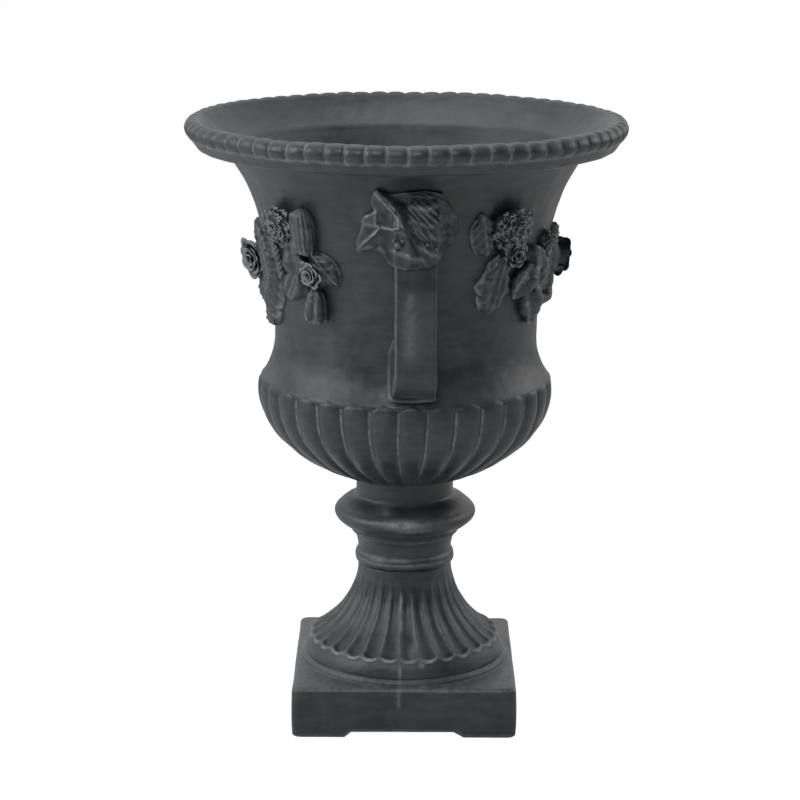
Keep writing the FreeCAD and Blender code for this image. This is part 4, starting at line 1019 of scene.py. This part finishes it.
def leafShape(options):
    # From the stalk (top) to the tip (bottom), its halves puffed up between midrib and edge.
    rows, columns = 46, 27
    down = np.linspace(0, 1, rows)[:, None]
    side = np.linspace(-1, 1, columns)[None, :]
    peak = math.log(0.5) / math.log(options.get("widest", 0.58))
    outline = np.sin(math.pi * np.clip(down, 0.004, 0.996) ** peak) ** options.get("fullness", 0.75)
    lobes = options.get("lobes", 0)
    if lobes:
        outline = outline * (1 - options["lobeDepth"] * np.abs(np.cos(math.pi * lobes * down ** 0.9)) ** 1.5)
    teeth = options.get("teeth", 0)
    if teeth:
        outline = outline * (1 - options.get("toothDepth", 0.12) * ((down * teeth) % 1.0))
    half = options["width"] / 2 * outline
    bend = options.get("sway", 0.0) * np.sin(math.pi * down) + options.get("hook", 0.0) * down ** 2
    across = side * half + bend
    lengthwise = options["length"] * (0.5 - down) + 0 * side
    proud = options["proud"]
    rise = proud * (0.45 + 0.4 * np.sin(math.pi * np.clip(down, 0.02, 0.98)) ** 0.6)
    puff = options.get("puff", 2.2) * np.sin(math.pi * np.abs(side)) ** 0.8 * outline
    rib = options.get("rib", 1.6) * np.exp(-(side * half / 1.5) ** 2)
    veins = options.get("veins", 7)
    phase = (down * veins - np.abs(side) * options.get("veinSlope", 1.1)) % 1.0
    vein = np.exp(-((phase - 0.5) / 0.11) ** 2) * (np.abs(side) < 0.93)
    curl = options.get("curl", 0.0) * (down - 0.45) ** 2 * 4
    ruffle = options.get("ruffle", 0.8) * side ** 2 * np.sin(2 * math.pi * options.get("waves", 3) * down + side)
    ends = 1 - 0.75 * np.abs(2 * down - 1) ** 7
    level = ((rise + curl) * (1 - 0.72 * np.abs(side) ** 4) + puff) * ends + rib + options.get("vein", 0.8) * vein + ruffle
    top = np.stack([across + 0 * level, lengthwise, np.maximum(level, 1.5)], axis=2)
    # Pale on the edges, a painted highlight, and dust along the veins and the midrib.
    dust = np.exp(-((1 - np.abs(side)) / 0.09) ** 2) * 0.6 + vein * 0.2 + np.exp(-(side * half / 1.2) ** 2) * 0.3
    return closedSheet(top, dust + 0 * down, under=-7.0)


def petalShape(length, width, cup, roll, ruffle=0.0, waves=3, thick=1.5, rows=11, columns=11):
    out = np.linspace(0, 1, rows)[:, None]
    side = np.linspace(-1, 1, columns)[None, :]
    half = width / 2 * np.where(out < 0.55, 0.45 + 0.55 * np.sin(out / 0.55 * math.pi / 2),
                                np.sqrt(np.clip(1 - ((out - 0.55) / 0.52) ** 2, 0.02, 1)))
    x = side * half
    y = length * out * (1 - 0.10 * side ** 2)
    z = cup * side ** 2 * np.sin(math.pi * np.clip(out * 0.9, 0, 1)) - roll * np.clip(out - 0.6, 0, 1) ** 2 * 6.25
    z = z + ruffle * np.sin(waves * side * math.pi + 0.7) * out ** 2
    dust = np.exp(-((1 - out) / 0.10) ** 2) * 0.8 + 0 * side
    return closedSheet(np.stack([x, y, z], axis=2), dust, thick=thick)


def makeBloomTree():
    # Petals, or beads, laid out from a flower's heart to its edge by one turn angle.
    tree, given = makeTree("bloom", [
        ("Petal", "Object"), ("Count", "Int"), ("Step Angle", "Float"), ("Inner Radius", "Float"),
        ("Outer Radius", "Float"), ("Inner Lift", "Float"), ("Outer Lift", "Float"), ("Inner Tilt", "Float"),
        ("Outer Tilt", "Float"), ("Inner Scale", "Float"), ("Outer Scale", "Float"), ("Jitter", "Float"),
        ("Seed", "Int"), ("Finish", "Material")])
    petal = addNode(tree, "GeometryNodeObjectInfo", {}, {"Object": given["Petal"]})
    spots = addNode(tree, "GeometryNodeMeshLine", {}, {"Count": given["Count"], "Offset": (0.0, 0.0, 0.0)})
    index = addNode(tree, "GeometryNodeInputIndex")
    share = addNode(tree, "ShaderNodeMath", {"operation": "DIVIDE"})
    tree.links.new(index.outputs[0], share.inputs[0])
    tree.links.new(given["Count"], share.inputs[1])

    def between(inner, outer):
        return addNode(tree, "ShaderNodeMapRange", {}, {
            "Value": share.outputs[0], "To Min": given[inner], "To Max": given[outer]}).outputs["Result"]

    radius, lift = between("Inner Radius", "Outer Radius"), between("Inner Lift", "Outer Lift")
    tilt, scale = between("Inner Tilt", "Outer Tilt"), between("Inner Scale", "Outer Scale")
    least = addNode(tree, "ShaderNodeMath", {"operation": "MULTIPLY"})
    tree.links.new(given["Jitter"], least.inputs[0])
    least.inputs[1].default_value = -1.0
    stray = addNode(tree, "FunctionNodeRandomValue", {"data_type": "FLOAT"}, {"Seed": given["Seed"]})
    tree.links.new(least.outputs[0], stray.inputs[2])
    tree.links.new(given["Jitter"], stray.inputs[3])
    angle = addNode(tree, "ShaderNodeMath", {"operation": "MULTIPLY_ADD"})
    tree.links.new(index.outputs[0], angle.inputs[0])
    tree.links.new(given["Step Angle"], angle.inputs[1])
    tree.links.new(stray.outputs[1], angle.inputs[2])
    tipped = addNode(tree, "ShaderNodeMath", {"operation": "ADD"})
    tree.links.new(tilt, tipped.inputs[0])
    tree.links.new(stray.outputs[1], tipped.inputs[1])
    facing = addNode(tree, "ShaderNodeCombineXYZ", {}, {"X": tipped.outputs[0], "Z": angle.outputs[0]})
    outwards = addNode(tree, "ShaderNodeCombineXYZ", {}, {"Y": radius, "Z": lift})
    turned = addNode(tree, "ShaderNodeVectorRotate", {"rotation_type": "Z_AXIS"}, {
        "Vector": outwards.outputs["Vector"], "Angle": angle.outputs[0]})
    laid = addNode(tree, "GeometryNodeSetPosition", {}, {
        "Geometry": spots.outputs["Mesh"], "Position": turned.outputs["Vector"]})
    copies = addNode(tree, "GeometryNodeInstanceOnPoints", {}, {
        "Points": laid.outputs["Geometry"], "Instance": petal.outputs["Geometry"],
        "Rotation": facing.outputs["Vector"], "Scale": scale})
    whole = addNode(tree, "GeometryNodeRealizeInstances", {}, {"Geometry": copies.outputs["Instances"]})
    painted = addNode(tree, "GeometryNodeSetMaterial", {}, {
        "Geometry": whole.outputs["Geometry"], "Material": given["Finish"]})
    addNode(tree, "NodeGroupOutput", {}, {"Geometry": painted.outputs["Geometry"]})
    return tree


def makeStrandTree():
    # Cords wound round each other, as the stems in the garland are.
    tree, given = makeTree("twistedStrands", [
        ("Strands", "Int"), ("Turns", "Float"), ("Length", "Float"), ("Twist Radius", "Float"),
        ("Strand Radius", "Float"), ("Finish", "Material")])
    path = addNode(tree, "GeometryNodeCurveSpiral", {}, {
        "Resolution": 14, "Rotations": given["Turns"], "Start Radius": given["Twist Radius"],
        "End Radius": given["Twist Radius"], "Height": given["Length"]})
    section = addNode(tree, "GeometryNodeCurvePrimitiveCircle", {}, {
        "Resolution": 8, "Radius": given["Strand Radius"]})
    strand = addNode(tree, "GeometryNodeCurveToMesh", {}, {
        "Curve": path.outputs["Curve"], "Profile Curve": section.outputs["Curve"], "Fill Caps": True})
    spots = addNode(tree, "GeometryNodeMeshLine", {}, {"Count": given["Strands"], "Offset": (0.0, 0.0, 0.0)})
    index = addNode(tree, "GeometryNodeInputIndex")
    share = addNode(tree, "ShaderNodeMath", {"operation": "DIVIDE"})
    tree.links.new(index.outputs[0], share.inputs[0])
    tree.links.new(given["Strands"], share.inputs[1])
    angle = addNode(tree, "ShaderNodeMath", {"operation": "MULTIPLY"})
    tree.links.new(share.outputs[0], angle.inputs[0])
    angle.inputs[1].default_value = 2 * math.pi
    spin = addNode(tree, "ShaderNodeCombineXYZ", {}, {"Z": angle.outputs[0]})
    copies = addNode(tree, "GeometryNodeInstanceOnPoints", {}, {
        "Points": spots.outputs["Mesh"], "Instance": strand.outputs["Mesh"], "Rotation": spin.outputs["Vector"]})
    whole = addNode(tree, "GeometryNodeRealizeInstances", {}, {"Geometry": copies.outputs["Instances"]})
    painted = addNode(tree, "GeometryNodeSetMaterial", {}, {
        "Geometry": whole.outputs["Geometry"], "Material": given["Finish"]})
    addNode(tree, "NodeGroupOutput", {}, {"Geometry": painted.outputs["Geometry"]})
    return tree


bloomTree, strandTree = makeBloomTree(), makeStrandTree()


def shapeOf(piece):
    # The mesh of a tree's result as (points in mm, faces, dust and painted highlight), and the object is done with.
    mesh = piece.data
    points = np.zeros(len(mesh.vertices) * 3)
    mesh.vertices.foreach_get("co", points)
    rub = np.zeros(len(mesh.vertices))
    if "rub" in mesh.attributes:
        mesh.attributes["rub"].data.foreach_get("value", rub)
    faces = [tuple(polygon.vertices) for polygon in mesh.polygons]
    bpy.data.objects.remove(piece)
    return points.reshape(-1, 3) / mm, faces, rub


def domeShape(width, height, sink=7.0, columns=28, rows=9):
    points, rub = [], []
    for row in range(rows):
        tilt = math.pi / 2 * row / rows
        for column in range(columns):
            turn = 2 * math.pi * column / columns
            points.append((width / 2 * math.cos(tilt) * math.cos(turn), width / 2 * math.cos(tilt) * math.sin(turn),
                           height * math.sin(tilt)))
            rub.append(0.1)
    base = len(points)
    for column in range(columns):
        x, y = points[column][:2]
        points.append((x, y, -sink))
        rub.append(0.0)
    points += [(0, 0, height), (0, 0, -sink)]
    rub += [0.1, 0.0]
    top, bottom = len(points) - 2, len(points) - 1
    faces = gridFaces(rows, columns, closedColumns=True)
    last = (rows - 1) * columns
    for column in range(columns):
        after = (column + 1) % columns
        faces.append((last + column, last + after, top))
        faces.append((base + column, base + after, after, column))
        faces.append((base + after, base + column, bottom))
    return np.array(points), faces, np.array(rub)


def bloomShape(options):
    single = beadShape((0, 0, 0), options["bead"]) if "bead" in options else petalShape(**options["petal"])
    petal = makeObject("petal", single[0] * mm, single[1], single[2])
    turn = math.radians
    piece = runTree("bloom", bloomTree, {
        "Petal": petal, "Count": options["count"], "Step Angle": turn(options.get("step", 137.5)),
        "Inner Radius": options["radius"][0] * mm, "Outer Radius": options["radius"][1] * mm,
        "Inner Lift": options["lift"][0] * mm, "Outer Lift": options["lift"][1] * mm,
        "Inner Tilt": turn(options["tilt"][0]), "Outer Tilt": turn(options["tilt"][1]),
        "Inner Scale": options["scale"][0], "Outer Scale": options["scale"][1],
        "Jitter": options.get("jitter", 0.12), "Seed": options.get("seed", 3), "Finish": stonePaint})
    bpy.data.objects.remove(petal)
    points, faces, rub = joinShapes([shapeOf(piece), domeShape(*options["dome"])])
    lean = turn(options.get("lean", 0.0))  # a flower that looks along the wall
    across, out = points[:, 0], points[:, 2]
    points = np.stack([across * math.cos(lean) + out * math.sin(lean), points[:, 1],
                       out * math.cos(lean) - across * math.sin(lean)], axis=1)
    return points, faces, rub


def hangingShape(options):
    # A fruit, bud or bell flower: turned about the y axis, its mouth or tip downwards.
    rows, columns = 40, 48
    length, r = options["length"], options["width"] / 2
    knots = np.array(options["outline"], float)  # (share of the way down, share of the radius)
    down = np.linspace(0, 1, rows)
    if options.get("open"):
        down = np.concatenate([down, np.linspace(1, 1 - options["open"], 14)[1:]])
    shares = np.interp(np.linspace(0, 1, rows), knots[:, 0], knots[:, 1])
    for turn in range(3):
        shares[1:-1] = 0.5 * shares[1:-1] + 0.25 * (shares[:-2] + shares[2:])
    around = np.linspace(0, 2 * math.pi, columns, endpoint=False)
    ribs, ribDepth = options.get("ribs", 0), options.get("ribDepth", 0.0)
    points, rub = [], []
    for index, level in enumerate(down):
        share = shares[index] if index < rows else shares[int(round(level * (rows - 1)))] * 0.86 - 0.03
        ripple = ribDepth * (np.abs(np.cos(ribs * around / 2)) if options.get("seams") else
                             0.5 + 0.5 * np.cos(ribs * around)) * math.sin(math.pi * min(max(level, 0.06), 0.94)) ** 0.4
        frill = options.get("frill", 0.0) * max(level - 0.55, 0) ** 2 * 5 * np.cos(options.get("frills", 7) * around)
        radius = np.maximum(r * share * (1 + frill) + ripple - ribDepth, 0.4)
        droop = options.get("fringe", 0.0) * max(level - 0.8, 0) * 5 * np.cos(options.get("frills", 7) * around * 2)
        points.append(np.stack([radius * np.sin(around), np.full(columns, length * (0.5 - level)) - droop,
                                radius * np.cos(around) * options.get("flat", 1.0)], axis=1))
        groove = 1 - ripple / max(ribDepth, 1e-6) if ribDepth else np.zeros(columns)
        rub.append(np.clip(groove - 0.6, 0, 1) * 1.2 + 0.5 * math.exp(-((1 - level) / 0.05) ** 2))
    points, rub = np.concatenate(points), np.concatenate(rub)
    faces = gridFaces(len(down), columns, closedColumns=True)
    faces.append(tuple(reversed(range(columns))))
    faces.append(tuple(range(len(points) - columns, len(points))))
    points[:, 2] += options["proud"] - r * options.get("flat", 1.0)
    body = (points, faces, rub)
    backing = domeShape(options["width"] * 0.62, max(options["proud"] - r, 2.0))
    return joinShapes([body, backing])


def strandShape(options):
    piece = runTree("strands", strandTree, {
        "Strands": options["strands"], "Turns": float(options["turns"]), "Length": options["length"] * mm,
        "Twist Radius": options["twist"] * mm, "Strand Radius": options["strand"] * mm, "Finish": stonePaint})
    points, faces, rub = shapeOf(piece)
    points = np.stack([points[:, 0], points[:, 2] - options["length"] / 2, points[:, 1]], axis=1)
    points[:, 2] += options["proud"] - options["twist"] - options["strand"]
    return points, faces, np.full(len(points), 0.25)


def onWall(points, middle, around, rise, spin):
    # Lays a shape on the bell's curved wall, so that its flat back follows the wall.
    turn = math.radians(spin)
    x = points[:, 0] * math.cos(turn) - points[:, 1] * math.sin(turn)
    y = points[:, 0] * math.sin(turn) + points[:, 1] * math.cos(turn)
    height = garland["height"] + rise
    across = math.radians(middle + around + urn["turn"]) + x / float(bellRadius(height))
    out = bellRadius(np.clip(height + y, 1, 271)) + points[:, 2]
    return np.stack([out * np.sin(across), -out * np.cos(across), height + y + urn["bellBase"]], axis=1) * mm


garland = {
    "height": 148.0,       # the garland's middle line, up from the bell's foot
    "rough": 0.9,
    "roughSize": 9.0,
    "grit": 0.6,
    "gritSize": 3.6,
}

rosePetal = dict(length=23, width=30, cup=6.0, roll=4.5, thick=1.5)
curledPetal = dict(length=12, width=15, cup=1.4, roll=4.5, ruffle=1.7, waves=2, thick=1.3, rows=8, columns=9)
sprigs = {
    # CAD name: (shape, degrees from the garland's middle, rise, spin, options)
    "rose_middle": (bloomShape, -3, -6, 0, dict(
        petal=rosePetal, count=19, radius=(1.5, 11), lift=(15, 8), tilt=(86, 56), scale=(0.6, 0.95), dome=(40, 22),
        lean=32, seed=4)),
    "rose_end": (bloomShape, 51, -2, 0, dict(
        petal=dict(rosePetal, length=15, width=20), count=17, radius=(1.2, 7.5), lift=(11, 5), tilt=(84, 58),
        scale=(0.6, 1.0), dome=(30, 14), lean=-12, seed=9)),
    "carnation_high": (bloomShape, 35.5, 49, 0, dict(
        petal=curledPetal, count=42, radius=(1, 15), lift=(11, 6), tilt=(84, 38), scale=(0.75, 1.0), dome=(42, 17),
        jitter=0.3, seed=5)),
    "carnation_end": (bloomShape, -52, 50, 0, dict(
        petal=curledPetal, count=54, radius=(1, 18), lift=(13, 6), tilt=(84, 38), scale=(0.75, 1.0), dome=(48, 18),
        jitter=0.35, seed=6)),
    "daisy": (bloomShape, -49, 20, 0, dict(
        petal=dict(length=13, width=14, cup=3.0, roll=2.0, thick=1.4, rows=9, columns=7),
        count=13, radius=(1.5, 8), lift=(9, 5), tilt=(84, 46), scale=(0.7, 1.0), dome=(30, 12), seed=2)),
    "seed_head": (bloomShape, -24, 24, 0, dict(
        bead=2.3, count=38, radius=(0.5, 11.5), lift=(16, 9), tilt=(0, 0), scale=(1.1, 1.0), dome=(26, 14), seed=8)),
    "thistle": (hangingShape, 47.5, 48, -6, dict(
        length=51, width=30, proud=22, outline=[(0, 0.4), (0.12, 0.85), (0.4, 1.0), (0.75, 0.98), (0.92, 0.9), (1, 0.72)],
        ribs=18, ribDepth=2.0, frill=0.10, frills=9, fringe=2.4, flat=1.1)),
    "pear": (hangingShape, 40, 14, 6, dict(
        length=42, width=32, proud=22, outline=[(0, 0.2), (0.1, 0.5), (0.3, 0.62), (0.62, 1.0), (0.85, 0.86), (1, 0.3)],
        ribs=3, ribDepth=1.2, flat=1.0)),
    "lily_bud": (hangingShape, 49.5, -38, -6, dict(
        length=37, width=27, proud=22, outline=[(0, 0.5), (0.15, 0.72), (0.45, 0.94), (0.75, 1.0), (0.92, 0.94), (1, 0.86)],
        ribs=6, ribDepth=1.8, seams=True, frill=0.10, frills=6, fringe=1.4, open=0.3, flat=1.1)),
    "tulip_high": (hangingShape, -39.5, -15, -42, dict(
        length=49, width=36, proud=23, outline=[(0, 0.3), (0.12, 0.75), (0.4, 1.0), (0.7, 0.88), (0.9, 0.5), (1, 0.15)],
        ribs=3, ribDepth=3.4, seams=True, flat=0.9)),
    "tulip_low": (hangingShape, -32.5, -43, 14, dict(
        length=51, width=36, proud=22, outline=[(0, 0.35), (0.12, 0.8), (0.4, 1.0), (0.72, 0.8), (0.86, 0.46), (1, 0.44)],
        ribs=3, ribDepth=3.0, seams=True, flat=0.9)),
    "leaf_veined": (leafShape, 17, -30, -42, dict(
        length=78, width=54, proud=12, veins=8, vein=2.0, veinSlope=1.7, puff=1.4, rib=2.8, curl=3.0, ruffle=1.2)),
    "leaf_curved": (leafShape, 17, 3, 12, dict(
        length=70, width=42, proud=13, veins=9, vein=1.0, sway=7.0, puff=3.4, curl=2.0)),
    "leaf_tall": (leafShape, -8, 15, -6, dict(length=46, width=38, proud=11, veins=6, vein=1.0, curl=3.0, puff=2.6)),
    "leaf_lobed": (leafShape, -63.5, 46, 16, dict(
        length=52, width=38, proud=8, veins=5, vein=0.8, lobes=1.5, lobeDepth=0.2, fullness=0.5, puff=1.8, curl=2.0)),
    "leaf_ribbed": (leafShape, -55, -12, -8, dict(
        length=70, width=48, proud=13, veins=0, vein=0.0, puff=1.4, rib=3.4, hook=-6.0, curl=6.0, ruffle=3.0, waves=5,
        lobes=2.5, lobeDepth=0.2, fullness=0.5)),
    "leaf_spiky": (leafShape, -5, -32, 8, dict(
        length=60, width=46, proud=15, veins=6, vein=1.2, teeth=3, toothDepth=0.3, puff=2.4, curl=5.0)),
    "leaf_side": (leafShape, 54.5, 7, 45, dict(length=50, width=30, proud=9, veins=5, vein=0.8, hook=-4.0)),
    "leaf_smooth": (leafShape, 38, -18, -30, dict(
        length=46, width=36, proud=12, veins=0, vein=0.0, rib=0.8, puff=3.0, curl=5.0, ruffle=2.0, waves=1)),
    "leaf_low": (leafShape, 13, -60, 6, dict(length=37, width=44, proud=10, veins=5, vein=1.0, curl=4.5, sway=-3.0)),
    "leaf_crest": (leafShape, -32, 8, 30, dict(length=42, width=34, proud=12, veins=0, vein=0.0, puff=3.4, curl=3.0)),
    "leaf_inner": (leafShape, -20, -8, -14, dict(length=68, width=46, proud=11, veins=7, vein=1.2, puff=2.8)),
    "twisted_stem": (strandShape, 30, 10, 8, dict(length=46, strands=3, turns=2.6, twist=2.4, strand=2.3, proud=13)),
}


def pieceName(side, name):
    return side + "".join(word.capitalize() for word in name.split("_"))


for number, (name, (maker, around, rise, spin, options)) in enumerate(sprigs.items()):
    shape = maker(options)
    for side, middle in (("left", -90), ("right", 90)):
        seed = number + (50 if side == "right" else 0)
        spots = roughen(shape[0], garland["rough"], garland["roughSize"], seed)
        spots = roughen(spots, garland["grit"], garland["gritSize"], seed)
        sprig = makeObject(pieceName(side, name), onWall(spots, middle, around, rise, spin), shape[1], shape[2])
        outwardFaces(sprig)
        finishPiece(sprig, [side + "_" + name])
print("garlands made")

for name in ("handle_dowels", "tie_rod", "tie_rod_nuts", "tie_rod_washers"):
    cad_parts[name].data.materials.clear()
    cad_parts[name].data.materials.append(steelPlated)


# ---- studio ----

studio = {
    "front": 0.06,         # how bright the room is on the camera's side
    "back": 1.0,           # and on the white sweep's
    "ambient": 0.40,       # share of it that lights the paint
    "floor": "#f4f4f4",
    "floorGlow": 0.97,     # the floor as it is seen, before its shadow is taken off
    "floorShade": 0.10,
    "lamps": [  # name, place in metres, size, watts
        ("leftSoftbox", (-2.4, -0.9, 1.6), 1.6, 42.0),
        ("rightSoftbox", (2.6, 0.9, 1.5), 1.4, 12.0),
        ("topSoftbox", (-0.3, 0.4, 2.8), 1.8, 17.0),
        ("frontSoftbox", (-0.5, -2.7, 2.7), 0.9, 38.0),
    ],
}


def makeStudio():
    world = bpy.data.worlds.new("whiteSweep")
    bpy.context.scene.world = world
    world.use_nodes = True
    tree = world.node_tree
    tree.nodes.clear()
    way = addNode(tree, "ShaderNodeSeparateXYZ", {}, {
        0: addNode(tree, "ShaderNodeTexCoord").outputs["Generated"]})
    level = addNode(tree, "ShaderNodeMapRange", {"interpolation_type": "SMOOTHSTEP"}, {
        "Value": way.outputs["Y"], "From Min": -0.75, "From Max": 0.15,
        "To Min": studio["front"], "To Max": studio["back"]})
    path = addNode(tree, "ShaderNodeLightPath")
    glossy = addNode(tree, "ShaderNodeMath", {"operation": "MAXIMUM"})
    tree.links.new(path.outputs["Is Glossy Ray"], glossy.inputs[0])
    tree.links.new(path.outputs["Is Transmission Ray"], glossy.inputs[1])
    share = addNode(tree, "ShaderNodeMapRange", {}, {"Value": glossy.outputs[0], "To Min": studio["ambient"]})
    strength = addNode(tree, "ShaderNodeMath", {"operation": "MULTIPLY"})
    tree.links.new(level.outputs["Result"], strength.inputs[0])
    tree.links.new(share.outputs["Result"], strength.inputs[1])
    room = addNode(tree, "ShaderNodeBackground", {}, {"Color": (1, 1, 1, 1), "Strength": strength.outputs[0]})
    white = addNode(tree, "ShaderNodeBackground", {}, {"Color": (1, 1, 1, 1), "Strength": 1.0})
    mixed = addNode(tree, "ShaderNodeMixShader", {}, {"Fac": path.outputs["Is Camera Ray"]})
    tree.links.new(room.outputs[0], mixed.inputs[1])
    tree.links.new(white.outputs[0], mixed.inputs[2])
    addNode(tree, "ShaderNodeOutputWorld", {}, {"Surface": mixed.outputs[0]})
    paper = bpy.data.materials.new("whitePaperSweep")
    paper.use_nodes = True
    tree = paper.node_tree
    tree.nodes.clear()
    sheet = addNode(tree, "ShaderNodeBsdfDiffuse", {}, {"Color": linearColour(studio["floor"])})
    shade = addNode(tree, "ShaderNodeBsdfDiffuse", {}, {"Color": [studio["floorShade"]] * 3 + [1.0]})
    glow = addNode(tree, "ShaderNodeEmission", {}, {"Strength": studio["floorGlow"]})
    lit = addNode(tree, "ShaderNodeAddShader")
    tree.links.new(glow.outputs[0], lit.inputs[0])
    tree.links.new(shade.outputs[0], lit.inputs[1])
    path = addNode(tree, "ShaderNodeLightPath")
    mixed = addNode(tree, "ShaderNodeMixShader", {}, {"Fac": path.outputs["Is Camera Ray"]})
    tree.links.new(sheet.outputs[0], mixed.inputs[1])
    tree.links.new(lit.outputs[0], mixed.inputs[2])
    addNode(tree, "ShaderNodeOutputMaterial", {}, {"Surface": mixed.outputs[0]})
    half = 30.0
    floor = makeObject("paperFloor", [(-half, -half, 0), (half, -half, 0), (half, half, 0), (-half, half, 0)],
                       [(0, 1, 2, 3)])
    floor.data.materials.append(paper)
    aim = Vector((0, 0, 0.38))
    for name, place, size, watts in studio["lamps"]:
        light = bpy.data.lights.new(name, "AREA")
        light.size = size
        light.energy = watts
        lamp = bpy.data.objects.new(name, light)
        lamp.location = place
        lamp.rotation_euler = (aim - Vector(place)).to_track_quat("-Z", "Y").to_euler()
        bpy.context.scene.collection.objects.link(lamp)


def makeCamera():
    camera = bpy.data.cameras.new("photoView")
    camera.sensor_width = 36.0
    camera.lens = 2466.0 / 800 * 36
    camera.shift_x = -5.2 / 800
    camera.clip_end = 60
    eye = bpy.data.objects.new("photoView", camera)
    eye.matrix_world = (Matrix.Translation((0, -2.8294, 1.0714)) @ Matrix.Rotation(math.radians(90 - 13.85), 4, "X")
                        @ Matrix.Rotation(math.radians(0.25), 4, "Z"))
    bpy.context.scene.collection.objects.link(eye)
    bpy.context.scene.camera = eye


makeStudio()
makeCamera()
bpy.context.scene.view_settings.view_transform = "Standard"
print("studio made")
